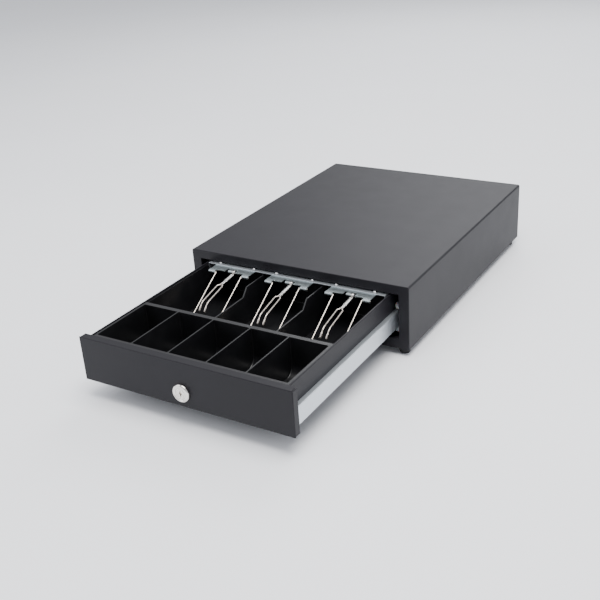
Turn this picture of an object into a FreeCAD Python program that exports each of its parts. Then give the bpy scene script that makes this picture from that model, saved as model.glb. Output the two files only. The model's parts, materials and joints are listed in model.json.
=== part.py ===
import FreeCAD
import Part
import math
import os

# Slim steel cash drawer with a lift-in till, drawn with the drawer run out to its stop.
# Every piece is drawn in the case's own axes: X to the right, Y from the case's front face to its back,
# Z up from the case's underside. The pieces are moved to the part's frame when they are written, so that
# the origin is the middle of the whole footprint, at floor level. All sizes are in millimetres.

Vector = FreeCAD.Vector

# ---- case ----
CASE_WIDTH = 330.0
CASE_DEPTH = 416.0
CASE_HEIGHT = 87.0
SHEET = 1.2                 # steel sheet of the case and the rails
CASE_BEND = 3.0             # outside radius of the cover's folds
JAMB_WIDTH = 14.0           # front frame, each side of the mouth
TOP_STRIP = 12.0            # front frame, above the mouth
LIP_HEIGHT = 13.0           # front frame, below the mouth
FRAME_RETURN = 8.0          # how far the frame folds back inside the mouth
LIP_RETURN = 4.5
BASE_FLANGE = 12.0
BASE_FLANGE_GAP = 2.0
BASE_REAR_INSET = 20.0
FRONT_EDGE_R = 1.0          # outside radius of the front frame's and the fascia's edges
CUT = 1.0                   # how far a cutting shape runs past the metal

# ---- feet and case fixings ----
FOOT_HEIGHT = 10.0
FOOT_TOP_R = 8.0
FOOT_BOTTOM_R = 6.4
FOOT_INSET_X = 11.5         # foot axis, in from the case's side
FOOT_INSET_Y = 12.0         # foot axis, in from the case's front and back
FOOT_SCREW_R = 2.0
FOOT_SCREW_HEAD_R = 3.6
FOOT_SCREW_HEAD = 2.5
FOOT_SCREW_PAST = 2.5
FOOT_EDGE_R = 1.2
FOOT_SEAT = 4.5             # rubber between the screw's head and the base
FOOT_RECESS_GAP = 0.3
FOOT_SLOT_LENGTH = 4.8
FOOT_SLOT_WIDTH = 1.0
FOOT_SLOT_DEPTH = 1.0
BOLT_DOWN_R = 2.25          # holes that fix the case to a counter
BOLT_DOWN_SPACING_X = 240.0
BOLT_DOWN_SPACING_Y = 240.0
BOLT_DOWN_FIRST_Y = 140.0
SCREW_R = 1.5
SCREW_HEAD_R = 3.0
SCREW_HEAD_HEIGHT = 1.6
SCREW_PAST = 1.8
SCREW_CROSS_LENGTH = 4.0
SCREW_CROSS_WIDTH = 0.8
SCREW_CROSS_DEPTH = 0.9
LOWER_SCREW_INSET = 40.0    # back screws, in from the case's inside
UPPER_SCREW_INSET = 8.0
UPPER_SCREW_DROP = 14.0     # below the case's top
SCREW_TAB = 14.0            # square tab that an upper screw bites
VENT_SLOTS = 6
VENT_WIDTH = 3.0
VENT_HEIGHT = 22.0
VENT_PITCH = 8.0
VENT_INSET = 83.8           # first slot, in from the case's inside
VENT_BOTTOM = 46.0

# ---- drawer ----
TRAVEL = 250.0              # closed to fully open
SLIDE_SPACE = 25.0          # pan's side to the case's inside
REAR_SPACE = 62.0           # closed pan to the case's back
PAN_SHEET = 1.0
PAN_BOTTOM = 17.0
PAN_BELOW_FASCIA = 0.5
PAN_HEM = 2.0
PAN_HEM_HEIGHT = 3.0
PAN_HEM_R = 0.9
PAN_REAR_HEIGHT = 44.0
FASCIA_GAP_X = 3.0          # to the mouth, each side
FASCIA_GAP_Z = 2.0          # to the mouth, above and below
FASCIA_DEPTH = 10.0
FASCIA_NOTCH = 1.6          # open corners between the fascia's folds
FASCIA_END_SHORT = 0.5

# ---- slides ----
RAIL_HEIGHT = 23.0
RAIL_TOP = 46.0
RAIL_FLANGE = 6.2           # drawer rail, out from the pan's side
RAIL_STUD_R = 4.0
ROLLER_R = 4.5              # rollers at the mouth
ROLLER_WIDTH = 4.5
ROLLER_GAP = 0.1            # roller to rail
ROLLER_Y = 18.0
TAIL_ROLLER_R = 6.5         # rollers at the back of the drawer rails
TAIL_ROLLER_WIDTH = 5.0
TAIL_ROLLER_FROM_END = 8.0
TAIL_ROLLER_RIM = 1.4
TAIL_ROLLER_DISH = 0.8
TRACK_GAP = 0.3             # tail roller to the case rail's flanges
TRACK_CLEAR_X = 0.6
AXLE_R = 1.6
AXLE_COLLAR = 1.0
AXLE_RIVET = 1.5
AXLE_RIVET_OUT = 1.2
AXLE_END = 0.4
RUNNING = 0.05              # radial clearance of every turning fit
RAIL_FROM_FASCIA = 2.0
RAIL_FROM_REAR = 8.0
RAIL_STUD_SHARES = (0.08, 0.5, 0.86)
RAIL_LIP_GAP = 0.7
TRACK_FROM_RAIL = 1.0
ROLLER_GROOVE_IN = 1.6
ROLLER_GROOVE_OUT = 2.9
ROLLER_GROOVE_DEPTH = 0.5
ROLLER_FROM_PAN = 1.2
ROLLER_SIDE_GAP = 0.1
AXLE_HEAD = 0.8
AXLE_COLLAR_GAP = 0.3
CASE_RAIL_FRONT = 12.0
CASE_RAIL_EAR = 14.0        # length of the plate that holds the mouth rollers
CASE_RAIL_EAR_MARGIN = 4.0
BRACKET_FROM_RAIL_END = 40.0
STAND_OFF_HALF = 12.0
STAND_OFF_FOOT = 9.0
STAND_OFF_TALL = 6.0

# ---- till ----
TILL_GAP = 0.2              # to the pan's hems and front wall
TILL_WALL = 1.8
TILL_LENGTH = 268.1
TILL_FLOOR = 2.0
TILL_BELOW_MOUTH = 5.0
TILL_CORNER_R = 3.0
COIN_GAP = 0.2              # coin tray to the till
COIN_CUPS = 5
COIN_WALL = 1.6
COIN_LENGTH = 89.3
COIN_FLOOR = 2.0
COIN_SCOOP_R = 14.0
COIN_RIM = 1.6
COIN_RIM_R = 0.8
COIN_CORNER_R = 1.5
HOOK_DROP = 7.0
FRONT_RIM = 4.3
HOOK_WIDTH = 6.7            # coin tray's back rim, over the till's partition
DIVIDER_SHEET = 1.8
DIVIDER_LOW = 40.0          # height of the dividers' front part, above the pan's floor
DIVIDER_STEP_R = 2.6
DIVIDER_GAP = 0.9           # to the clip plates
DIVIDER_STEP_FROM_BAR = 50.5
DIVIDER_STEP_RUN = 10.0
TILL_FLOOR_R = 2.0           # inside corner round the notes' floor
DIVIDER_CORNER = TILL_FLOOR_R + 0.2

# ---- note clips ----
CLIPS = 3
BAR_FROM_REAR = 34.5
BAR_DEPTH = 12.0
BAR_SHEET = 1.2
BAR_BELOW_MOUTH = 2.4
BAR_TAB = 9.0
PLATE_CORNER_R = 2.5
PLATE_FROM_HINGE = 2.9      # plate's front edge, behind the bail's hinge
NOTCH_HALF = 8.5            # notch round the arm's tab
NOTCH_GAP = 1.0             # to the arm's eye
RIVET_SPACING = 54.6
RIVET_R = 1.5
RIVET_HEAD_R = 2.3
RIVET_HEAD_HEIGHT = 1.5
RIVET_FOOT = 0.8
RIVET_HEAD_EDGE_R = 0.9
HINGE_FROM_BAR = 15.9       # bail's hinge
ARM_HINGE_FROM_BAR = 8.2    # arm's hinge
HINGE_PIN_R = 1.1
PIN_HEAD_R = 1.8
PIN_HEAD = 0.6
KNUCKLE_R = 2.3
KNUCKLE_WIDTH = 10.0
KNUCKLE_OFFSET = 26.8       # knuckles, from the clip's middle
TAB_WIDTH = 5.8             # middle tab, which holds the arm's pin
PIN_PROUD = 0.8
WIRE_R = 0.95
BAIL_HALF = 20.5
BAIL_SLOPE = 32.0           # degrees below level
BAIL_BEND = 5.0
BAIL_PIVOT_BEND = 1.2       # where the wire turns into its knuckle
BAIL_FLOOR_GAP = 0.5
EYE_R = 2.5
EYE_BITE = 0.6              # how far the arm's neck is sunk in its eye
EYE_SIDE_GAP = 0.1
ARM_OFFSET = 3.0            # arm's middle, from the clip's middle
ARM_SLOPE = 6.2             # degrees below level
SLEEVE_LENGTH = 22.0
SLEEVE_HALF = 2.7
SLEEVE_THICK = 2.6
SLEEVE_DROP = 2.0
SLEEVE_GAP = 0.5
SLEEVE_EDGE_R = 1.1
SLEEVE_EYE_HALF = 2.0
CRIMP_LENGTH = 5.0
CRIMP_HALF = 2.1
CRIMP_THICK = 2.2
NECK_HALF = 1.5
NECK_THICK = 1.4
NECK_ROOT = 1.3             # front of the neck's root, from the hinge
GROOVE_HALF = 0.35
GROOVE_DEPTH = 0.5
GROOVE_SHORT = 2.0
FORK_ROOT = 1.2             # prongs' distance from the arm's middle, in the sleeve
FORK_HALF = 4.1
FORK_RUNS = (               # forward, down and sideways, from the crimp's end
    (2.0, 0.0, FORK_ROOT),
    (4.8, 0.0, FORK_HALF),
    (41.0, 4.5, FORK_HALF),
    (49.4, 12.7, FORK_HALF),
)
FORK_BEND = 2.5
BRIDGE_LENGTH = 0.9
TIP_R = 1.4
TIP_LENGTH = 7.0

# ---- lock ----
LOCK_Z = 34.0
LOCK_BEZEL_R = 11.5
LOCK_PROUD = 4.0
LOCK_PAN_GAP = 1.0
LOCK_BODY_R = 9.0
LOCK_PLUG_R = 7.0
LOCK_BODY_DEPTH = 6.2       # from the fascia's front face
LOCK_NUT_R = 11.6
LOCK_NUT_THICK = 2.2
LOCK_BEZEL_EDGE = 1.4
LOCK_DISH_RING = 2.6
LOCK_DISH = 0.7
PLUG_SUNK = 0.9
PLUG_SQUARE = 5.0
PLUG_CAP_R = 4.0
PLUG_CAP = 1.2
KEYHOLE_R = 1.6
KEY_SLOT_WIDTH = 1.4
KEY_SLOT_HEIGHT = 7.2
KEY_DEPTH = 5.0
PLUG_GROOVE_OUTER = 5.4
PLUG_GROOVE_INNER = 4.9
PLUG_GROOVE = 0.4
CAM_THICK = 2.0
CAM_WIDTH = 9.0
CAM_REACH = 24.0
CAM_GAP = 1.0
CAM_HUB_R = 6.5
CAM_TIP_R = 2.0

# ---- latch at the back of the case ----
STRIKER_REACH = 14.0
STRIKER_Z = 30.0
STRIKER_R = 2.5
STRIKER_HALF = 8.0
STRIKER_SHEET = 1.5
STRIKER_FOOT = 6.0
STRIKER_TALL = 14.0
STRIKER_EAR = 8.0
STRIKER_EAR_PAST = 4.0
BRACKET_SHEET = 1.5
BRACKET_HALF = 15.0
BRACKET_FROM_PAN = 8.0      # behind the closed pan
BRACKET_LENGTH = 44.0
BRACKET_CORNER_R = 4.0
HOOK_THICK = 3.0
HOOK_TALL = 6.0
HOOK_BOSS_R = 5.0
HOOK_BOSS = 2.0
HOOK_NOSE = 5.0
HOOK_PIVOT_FROM_PAN = 40.0
HOOK_PIN_R = 2.0
HOOK_PIN_PROUD = 0.8
HOOK_GAP = 0.5
LINK_R = 1.5
LINK_HALF = 4.2
LINK_PLAY_R = 0.15
LINK_PLAY_Y = 0.5
PLUNGER_FROM_PAN = 26.0
PLUNGER_R = 4.5
PLUNGER_TOP_ROOM = 11.0
PLUNGER_ABOVE_LINK = 7.5
PLUNGER_LEG_OUT = 3.9
PLUNGER_LEG_HALF = 3.6
PLUNGER_LEG_DROP = 3.2
PLUNGER_LEG_GAP = 0.4
PLUNGER_FRAME_GAP = 0.6
PLUNGER_COIL_GAP = 0.4
COIL_R = 10.0
COIL_FLANGE = 1.6
COIL_FLANGE_OUT = 1.8
COIL_STOP = 4.0
SOLENOID_ABOVE_HOOK = 10.0
SOLENOID_HEIGHT = 24.0
SOLENOID_DEPTH = 26.0
SOLENOID_SHEET = 1.5
SOLENOID_BELOW_BRACKET = 2.0
SPRING_POST_X = 60.0
SPRING_POST_R = 3.5
SPRING_POST_LENGTH = 50.0
SPRING_POST_TIP = 1.0
SPRING_SEAT = 1.5
SPRING_SEAT_OUT = 3.0
SPRING_SEAT_GAP = 0.1
SPRING_COIL_R = 6.0
SPRING_WIRE_R = 0.8
SPRING_LENGTH = 74.0
SPRING_TURNS = 11
SPRING_Z = 34.0
SWITCH_X = 100.0
SWITCH_GAP = 0.4            # resting lever to the closed pan
SWITCH_FROM_PAN = 8.0
SWITCH_WIDTH = 6.4
SWITCH_DEPTH = 10.0
SWITCH_BOTTOM = 22.0
SWITCH_TOP = 42.0
SWITCH_BUTTON = 1.0
SWITCH_BUTTON_BOTTOM = 30.0
SWITCH_BUTTON_TALL = 2.0
SWITCH_STAND_DEPTH = 12.0
SWITCH_STAND_FOOT = 10.0
LEVER_EAR = 0.8
LEVER_EAR_REACH = 2.6
LEVER_EAR_TALL = 3.4
LEVER_PIN_Z = 23.6
LEVER_PIN_FROM_SWITCH = 1.5
LEVER_PIN_R = 0.55
LEVER_HUB_R = 1.1
LEVER_WIDTH = 4.4
LEVER_SHEET = 0.5
LEVER_ROOT = 0.1
LEVER_RISE = 0.6
LEVER_ELBOW_Z = 36.0
LEVER_ELBOW_OUT = 2.2
LEVER_TIP_Z = 44.0
LEVER_CURL_R = 1.2

# ---- drawer socket ----
JACK_X = -95.0
JACK_Z = 30.0
JACK_WIDTH = 14.0
JACK_HEIGHT = 13.0
JACK_DEPTH = 18.0
JACK_WALL = 1.4
JACK_CHEEK = 0.6            # extra wall beside the plug
JACK_BACK = 4.0
JACK_CLIP_ROOM = 2.4
JACK_CLIP_HALF = 3.2
JACK_CLIP_BACK = 6.0
BOARD_SHEET = 1.6
BOARD_HALF = 22.0
BOARD_BOTTOM = 14.0
BOARD_TOP = 44.0
BOARD_FOOT = 14.0
BOARD_LEG_IN = 15.0
BOARD_LEG_OUT = 19.0
BOARD_LEG_TOP = 22.0
HEADER = (-10.0, 6.0, 7.0, 28.0, 36.0)      # left, right, depth, bottom, top, from the socket's middle
RELAY = (9.0, 19.0, 6.0, 26.0, 40.0)

# ---- worked out ----
HALF = CASE_WIDTH / 2
INSIDE = HALF - SHEET
MOUTH_HALF = HALF - JAMB_WIDTH
MOUTH_TOP = CASE_HEIGHT - TOP_STRIP
BACK_INSIDE = CASE_DEPTH - SHEET
FASCIA_HALF = MOUTH_HALF - FASCIA_GAP_X
FASCIA_TOP = MOUTH_TOP - FASCIA_GAP_Z
FASCIA_BOTTOM = LIP_HEIGHT + FASCIA_GAP_Z
FASCIA_FRONT = -TRAVEL
FASCIA_BACK = FASCIA_FRONT + FASCIA_DEPTH
PAN_HALF = INSIDE - SLIDE_SPACE
PAN_FRONT = FASCIA_BACK
CLOSED_REAR = CASE_DEPTH - REAR_SPACE
PAN_REAR = CLOSED_REAR - TRAVEL
PAN_FLOOR = PAN_BOTTOM + PAN_SHEET
PAN_TOP = FASCIA_TOP - PAN_BELOW_FASCIA
RAIL_BOTTOM = RAIL_TOP - RAIL_HEIGHT
RAIL_OUT = PAN_HALF + RAIL_FLANGE
RAIL_FRONT = PAN_FRONT + RAIL_FROM_FASCIA
RAIL_REAR = PAN_REAR - RAIL_FROM_REAR
RAIL_MIDDLE = RAIL_BOTTOM + RAIL_HEIGHT / 2
TAIL_Y = RAIL_REAR - TAIL_ROLLER_FROM_END
TRACK_IN = RAIL_OUT + TRACK_FROM_RAIL
TAIL_ROLLER_IN = TRACK_IN + 2 * ROLLER_SIDE_GAP
TAIL_ROLLER_OUT = TAIL_ROLLER_IN + TAIL_ROLLER_WIDTH
TRACK_WEB = TAIL_ROLLER_IN + TAIL_ROLLER_WIDTH + TRACK_CLEAR_X
TRACK_HALF = TAIL_ROLLER_R + TRACK_GAP + SHEET
SUPPORT_Z = RAIL_BOTTOM - ROLLER_GAP - ROLLER_R
GUIDE_Z = RAIL_TOP + ROLLER_GAP + ROLLER_R
CASE_RAIL_REAR = CLOSED_REAR
MOUTH_ROLLER_IN = PAN_HALF + ROLLER_FROM_PAN
MOUTH_ROLLER_OUT = MOUTH_ROLLER_IN + ROLLER_WIDTH
TILL_HALF = PAN_HALF - PAN_HEM - TILL_GAP
TILL_INSIDE = TILL_HALF - TILL_WALL
TILL_TOP = MOUTH_TOP - TILL_BELOW_MOUTH
CUP_FRONT = PAN_FRONT + PAN_SHEET + TILL_GAP + FRONT_RIM
CUP_REAR = CUP_FRONT + COIN_LENGTH
COIN_HALF = TILL_INSIDE - COIN_GAP
COIN_TOP = TILL_TOP + COIN_RIM
COIN_BACK = CUP_REAR + COIN_WALL
TILL_FRONT = CUP_FRONT - COIN_WALL - COIN_GAP
TILL_REAR = TILL_FRONT - TILL_WALL + TILL_LENGTH
PARTITION_FRONT = COIN_BACK + COIN_GAP
HOOK_BACK = CUP_REAR + HOOK_WIDTH
PARTITION_BACK = HOOK_BACK - COIN_WALL - COIN_GAP
BAR_FRONT = TILL_REAR - BAR_FROM_REAR
BAR_TOP = MOUTH_TOP - BAR_BELOW_MOUTH
BAR_BOTTOM = BAR_TOP - BAR_SHEET
PLATE_BOTTOM = BAR_BOTTOM - SHEET
DIVIDER_HIGH = PLATE_BOTTOM - DIVIDER_GAP - PAN_FLOOR
DIVIDER_STEP_Y = BAR_FRONT - DIVIDER_STEP_FROM_BAR
HINGE_Y = BAR_FRONT - HINGE_FROM_BAR
HINGE_Z = BAR_BOTTOM - KNUCKLE_R
ARM_HINGE_Y = BAR_FRONT - ARM_HINGE_FROM_BAR
PLATE_HALF = KNUCKLE_OFFSET + KNUCKLE_WIDTH / 2
TAB_RIGHT = ARM_OFFSET - SLEEVE_EYE_HALF - EYE_SIDE_GAP
NOTE_WIDTH = (2 * TILL_INSIDE - 2 * DIVIDER_SHEET) / CLIPS
CLIP_PITCH = NOTE_WIDTH + DIVIDER_SHEET
CLIP_MIDDLES = [(i - (CLIPS - 1) / 2) * CLIP_PITCH for i in range(CLIPS)]
BAIL_DROP = HINGE_Z - PAN_FLOOR - TILL_FLOOR - WIRE_R - BAIL_FLOOR_GAP
BAIL_LENGTH = BAIL_DROP / math.sin(math.radians(BAIL_SLOPE))
SLEEVE_FRONT = ARM_HINGE_Y - EYE_R - SLEEVE_LENGTH
CRIMP_FRONT = SLEEVE_FRONT - CRIMP_LENGTH
STRIKER_CLOSED_Y = CLOSED_REAR + STRIKER_REACH
HOOK_UNDER = STRIKER_Z + STRIKER_R + HOOK_GAP
HOOK_PIVOT_Y = CLOSED_REAR + HOOK_PIVOT_FROM_PAN
HOOK_PIVOT_Z = HOOK_UNDER + HOOK_TALL / 2
PLUNGER_Y = CLOSED_REAR + PLUNGER_FROM_PAN
SOLENOID_BOTTOM = HOOK_PIVOT_Z + SOLENOID_ABOVE_HOOK
SOLENOID_TOP = SOLENOID_BOTTOM + SOLENOID_HEIGHT
BRACKET_FRONT = CLOSED_REAR + BRACKET_FROM_PAN
BRACKET_HEIGHT = SOLENOID_TOP + SOLENOID_BELOW_BRACKET
SWITCH_FRONT = CLOSED_REAR + SWITCH_FROM_PAN
LEVER_PIN_Y = SWITCH_FRONT - LEVER_PIN_FROM_SWITCH
UPPER_SCREW_X = INSIDE - UPPER_SCREW_INSET
UPPER_SCREW_Z = CASE_HEIGHT - UPPER_SCREW_DROP
JACK_FRONT = CASE_DEPTH - JACK_DEPTH
BOARD_FRONT = JACK_FRONT - BOARD_SHEET
FOOTPRINT = TRAVEL + LOCK_PROUD + CASE_DEPTH + SCREW_HEAD_HEIGHT
TO_FRAME = Vector(0, TRAVEL + LOCK_PROUD - FOOTPRINT / 2, FOOT_HEIGHT)


# ---- small helpers ----

def box(x0, x1, y0, y1, z0, z1):
    return Part.makeBox(x1 - x0, y1 - y0, z1 - z0, Vector(x0, y0, z0))


def rod(radius, start, end):
    """A round bar between two points."""
    along = end.sub(start)
    return Part.makeCylinder(radius, along.Length, start, along)


def rod_x(radius, x0, x1, y, z):
    return rod(radius, Vector(x0, y, z), Vector(x1, y, z))


def rod_y(radius, y0, y1, x, z):
    return rod(radius, Vector(x, y0, z), Vector(x, y1, z))


def rod_z(radius, z0, z1, x, y):
    return rod(radius, Vector(x, y, z0), Vector(x, y, z1))


def tube_x(outer, inner, x0, x1, y, z):
    return rod_x(outer, x0, x1, y, z).cut(rod_x(inner, x0 - 1, x1 + 1, y, z))


def tube_y(outer, inner, y0, y1, x, z):
    return rod_y(outer, y0, y1, x, z).cut(rod_y(inner, y0 - 1, y1 + 1, x, z))


def fuse(pieces):
    whole = pieces[0].multiFuse(pieces[1:])
    return whole.removeSplitter()


def group(solids):
    return Part.makeCompound(solids)


def mirrored(shape):
    return shape.mirror(Vector(0, 0, 0), Vector(1, 0, 0))


def plate_x(points, x0, x1):
    """A flat plate across X, from an outline of (y, z) points."""
    outline = [Vector(x0, y, z) for y, z in points]
    face = Part.Face(Part.makePolygon(outline + outline[:1]))
    return face.extrude(Vector(x1 - x0, 0, 0))


def rounded_edges(shape, radius, wanted):
    """Fillets the straight edges whose middle point satisfies wanted(point, direction)."""
    edges = []
    for edge in shape.Edges:
        if edge.Curve.TypeId != "Part::GeomLine":
            continue
        first, last = edge.Vertexes[0].Point, edge.Vertexes[-1].Point
        middle = first.add(last).multiply(0.5)
        direction = last.sub(first).normalize()
        if wanted(middle, direction):
            edges.append(edge)
    return shape.makeFillet(radius, edges)


def wire_rod(radius, points, bends):
    """A round wire along straight runs, with one bend radius for each corner."""
    edges = []
    start = points[0]
    for before, corner, after, bend in zip(points, points[1:], points[2:], bends):
        u = before.sub(corner).normalize()
        v = after.sub(corner).normalize()
        half_angle = u.getAngle(v) / 2
        reach = bend / math.tan(half_angle)
        first = corner.add(Vector(u).multiply(reach))
        last = corner.add(Vector(v).multiply(reach))
        bisector = u.add(v).normalize()
        centre = corner.add(Vector(bisector).multiply(bend / math.sin(half_angle)))
        middle = centre.sub(Vector(bisector).multiply(bend))
        edges.append(Part.LineSegment(start, first).toShape())
        edges.append(Part.Arc(first, middle, last).toShape())
        start = last
    edges.append(Part.LineSegment(start, points[-1]).toShape())
    along = points[1].sub(points[0])
    section = Part.Wire([Part.makeCircle(radius, points[0], along)])
    return Part.Wire(edges).makePipeShell([section], True, True)


def coil_y(coil_r, wire_r, y0, y1, turns, x, z):
    """A round wire wound about a line along Y."""
    length = y1 - y0 - 2 * wire_r
    spine = Part.makeHelix(length / turns, length, coil_r)
    section = Part.Wire([Part.makeCircle(wire_r, Vector(coil_r, 0, 0), Vector(0, 1, 0))])
    coil = Part.Wire(spine).makePipeShell([section], True, True)
    coil.rotate(Vector(0, 0, 0), Vector(1, 0, 0), -90)
    coil.translate(Vector(x, y0 + wire_r, z))
    return coil


# ---- case ----

def case_hollow():
    """The space inside the cover: open at the back and underneath."""
    hollow = box(-INSIDE, INSIDE, SHEET, CASE_DEPTH + CUT, -CUT, CASE_HEIGHT - SHEET)
    inner_bend = CASE_BEND - SHEET
    return rounded_edges(hollow, inner_bend, lambda p, d: abs(d.y) > 0.9 and p.z > 0)


def both_sides(inner, outer):
    """The two spans of X, left and right, between two distances from the middle."""
    return [(-outer, -inner), (inner, outer)]


def upper_screw_places():
    return [(side * UPPER_SCREW_X, UPPER_SCREW_Z) for side in (-1, 1)]


def lower_screw_places():
    return [(x, BASE_FLANGE / 2) for x in (-INSIDE + LOWER_SCREW_INSET, 0, INSIDE - LOWER_SCREW_INSET)]


def screw_hole(x, z):
    return rod_y(SCREW_R, BACK_INSIDE - SHEET - CUT, CASE_DEPTH + CUT, x, z)


def cover():
    shell = box(-HALF, HALF, 0, CASE_DEPTH, 0, CASE_HEIGHT)
    shell = rounded_edges(shell, CASE_BEND, lambda p, d: abs(d.y) > 0.9 and p.z > 0)
    shell = rounded_edges(shell, FRONT_EDGE_R, lambda p, d: p.y < 0.01 and abs(d.x) > 0.9 and p.z > 0)
    shell = shell.cut(case_hollow())
    shell = shell.cut(box(-MOUTH_HALF, MOUTH_HALF, -CUT, SHEET + CUT, -CUT, MOUTH_TOP))
    reach = MOUTH_HALF + SHEET
    pieces = [shell, box(-reach, reach, 0, FRAME_RETURN, MOUTH_TOP, MOUTH_TOP + SHEET)]
    for x0, x1 in both_sides(MOUTH_HALF, reach):
        pieces.append(box(x0, x1, 0, FRAME_RETURN, SHEET, MOUTH_TOP))
    tab_bottom = UPPER_SCREW_Z - SCREW_TAB / 2
    for x0, x1 in both_sides(INSIDE - SCREW_TAB, INSIDE):
        pieces.append(box(x0, x1, BACK_INSIDE - SHEET, BACK_INSIDE, tab_bottom, tab_bottom + SCREW_TAB))
    whole = fuse(pieces)
    for x, z in upper_screw_places():
        whole = whole.cut(screw_hole(x, z))
    return whole


def foot_places():
    return [
        (side * (HALF - FOOT_INSET_X), y)
        for side in (-1, 1)
        for y in (FOOT_INSET_Y, CASE_DEPTH - FOOT_INSET_Y)
    ]


def bolt_down_places():
    return [
        (side * BOLT_DOWN_SPACING_X / 2, y)
        for side in (-1, 1)
        for y in (BOLT_DOWN_FIRST_Y, BOLT_DOWN_FIRST_Y + BOLT_DOWN_SPACING_Y)
    ]


def base_plate():
    """The floor of the case, with a lip at the mouth and flanges at the sides and the back."""
    flange_front = FRAME_RETURN + BASE_FLANGE_GAP
    flange_rear = BACK_INSIDE - BASE_FLANGE_GAP
    rear_half = INSIDE - BASE_REAR_INSET
    pieces = [
        box(-INSIDE, INSIDE, SHEET, BACK_INSIDE, 0, SHEET),
        box(-MOUTH_HALF, MOUTH_HALF, 0, SHEET, 0, LIP_HEIGHT),
        box(-MOUTH_HALF, MOUTH_HALF, 0, SHEET + LIP_RETURN, LIP_HEIGHT - SHEET, LIP_HEIGHT),
        box(-rear_half, rear_half, BACK_INSIDE - SHEET, BACK_INSIDE, 0, BASE_FLANGE),
    ]
    for x0, x1 in both_sides(INSIDE - SHEET, INSIDE):
        pieces.append(box(x0, x1, flange_front, flange_rear, 0, BASE_FLANGE))
    plate = fuse(pieces)
    plate = rounded_edges(plate, FRONT_EDGE_R, lambda p, d: abs(d.x) > 0.9 and p.y < 0.01 and p.z > SHEET)
    for x, y in foot_places():
        plate = plate.cut(rod_z(FOOT_SCREW_R, -CUT, SHEET + CUT, x, y))
    for x, y in bolt_down_places():
        plate = plate.cut(rod_z(BOLT_DOWN_R, -CUT, SHEET + CUT, x, y))
    for x, z in lower_screw_places():
        plate = plate.cut(screw_hole(x, z))
    return plate


def back_panel():
    panel = box(-INSIDE, INSIDE, BACK_INSIDE, CASE_DEPTH, 0, CASE_HEIGHT - SHEET)
    panel = panel.common(case_hollow())
    for x, z in lower_screw_places() + upper_screw_places():
        panel = panel.cut(screw_hole(x, z))
    panel = panel.cut(jack_block(BACK_INSIDE - CUT, CASE_DEPTH + CUT))
    for i in range(VENT_SLOTS):
        x = INSIDE - VENT_INSET + i * VENT_PITCH
        slot = box(x, x + VENT_WIDTH, BACK_INSIDE - CUT, CASE_DEPTH + CUT,
                   VENT_BOTTOM, VENT_BOTTOM + VENT_HEIGHT)
        panel = panel.cut(slot)
    return panel


def back_screw(x, z):
    shank = rod_y(SCREW_R, CASE_DEPTH - 2 * SHEET - SCREW_PAST, CASE_DEPTH, x, z)
    rear = CASE_DEPTH + SCREW_HEAD_HEIGHT
    screw = fuse([shank, rod_y(SCREW_HEAD_R, CASE_DEPTH, rear, x, z)])
    long_half, short_half = SCREW_CROSS_LENGTH / 2, SCREW_CROSS_WIDTH / 2
    for half_x, half_z in ((long_half, short_half), (short_half, long_half)):
        recess = box(x - half_x, x + half_x, rear - SCREW_CROSS_DEPTH, rear + CUT, z - half_z, z + half_z)
        screw = screw.cut(recess)
    return screw


def case_screws():
    return group([back_screw(x, z) for x, z in lower_screw_places() + upper_screw_places()])


def foot(x, y):
    """A tapered rubber foot, hollowed from below for its screw."""
    body = Part.makeCone(FOOT_BOTTOM_R, FOOT_TOP_R, FOOT_HEIGHT, Vector(x, y, -FOOT_HEIGHT), Vector(0, 0, 1))
    body = body.makeFillet(FOOT_EDGE_R, [e for e in body.Edges if e.BoundBox.ZMax < -FOOT_HEIGHT + 0.01])
    recess = rod_z(FOOT_SCREW_HEAD_R + FOOT_RECESS_GAP, -FOOT_HEIGHT - CUT, -FOOT_SEAT, x, y)
    bore = rod_z(FOOT_SCREW_R, -FOOT_HEIGHT - CUT, CUT, x, y)
    return body.cut(recess).cut(bore)


def foot_screws():
    screws = []
    head_bottom = -FOOT_SEAT - FOOT_SCREW_HEAD
    for x, y in foot_places():
        head = rod_z(FOOT_SCREW_HEAD_R, head_bottom, -FOOT_SEAT, x, y)
        shank = rod_z(FOOT_SCREW_R, -FOOT_SEAT, SHEET + FOOT_SCREW_PAST, x, y)
        half_x, half_y = FOOT_SLOT_LENGTH / 2, FOOT_SLOT_WIDTH / 2
        slot = box(x - half_x, x + half_x, y - half_y, y + half_y,
                   head_bottom - CUT, head_bottom + FOOT_SLOT_DEPTH)
        screws.append(fuse([head, shank]).cut(slot))
    return group(screws)


# ---- slides ----

def case_rail_right():
    """A channel for the tail roller, with an ear at the mouth that holds two more rollers."""
    outer = TRACK_WEB + SHEET
    top, bottom = RAIL_MIDDLE + TRACK_HALF, RAIL_MIDDLE - TRACK_HALF
    ear_bottom, ear_top = SUPPORT_Z - CASE_RAIL_EAR_MARGIN, GUIDE_Z + CASE_RAIL_EAR_MARGIN
    pieces = [
        box(TRACK_WEB, outer, CASE_RAIL_FRONT, CASE_RAIL_REAR, bottom, top),
        box(TRACK_IN, outer, CASE_RAIL_FRONT, CASE_RAIL_REAR, top - SHEET, top),
        box(TRACK_IN, outer, CASE_RAIL_FRONT, CASE_RAIL_REAR, bottom, bottom + SHEET),
        box(TRACK_WEB, outer, CASE_RAIL_FRONT, CASE_RAIL_FRONT + CASE_RAIL_EAR, ear_bottom, ear_top),
        box(TRACK_IN, outer, CASE_RAIL_REAR - SHEET, CASE_RAIL_REAR, bottom, top),
    ]
    rail = fuse(pieces)
    for z in (SUPPORT_Z, GUIDE_Z):
        rail = rail.cut(rod_x(AXLE_R, TRACK_WEB - CUT, outer + CUT, ROLLER_Y, z))
    return rail


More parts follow.
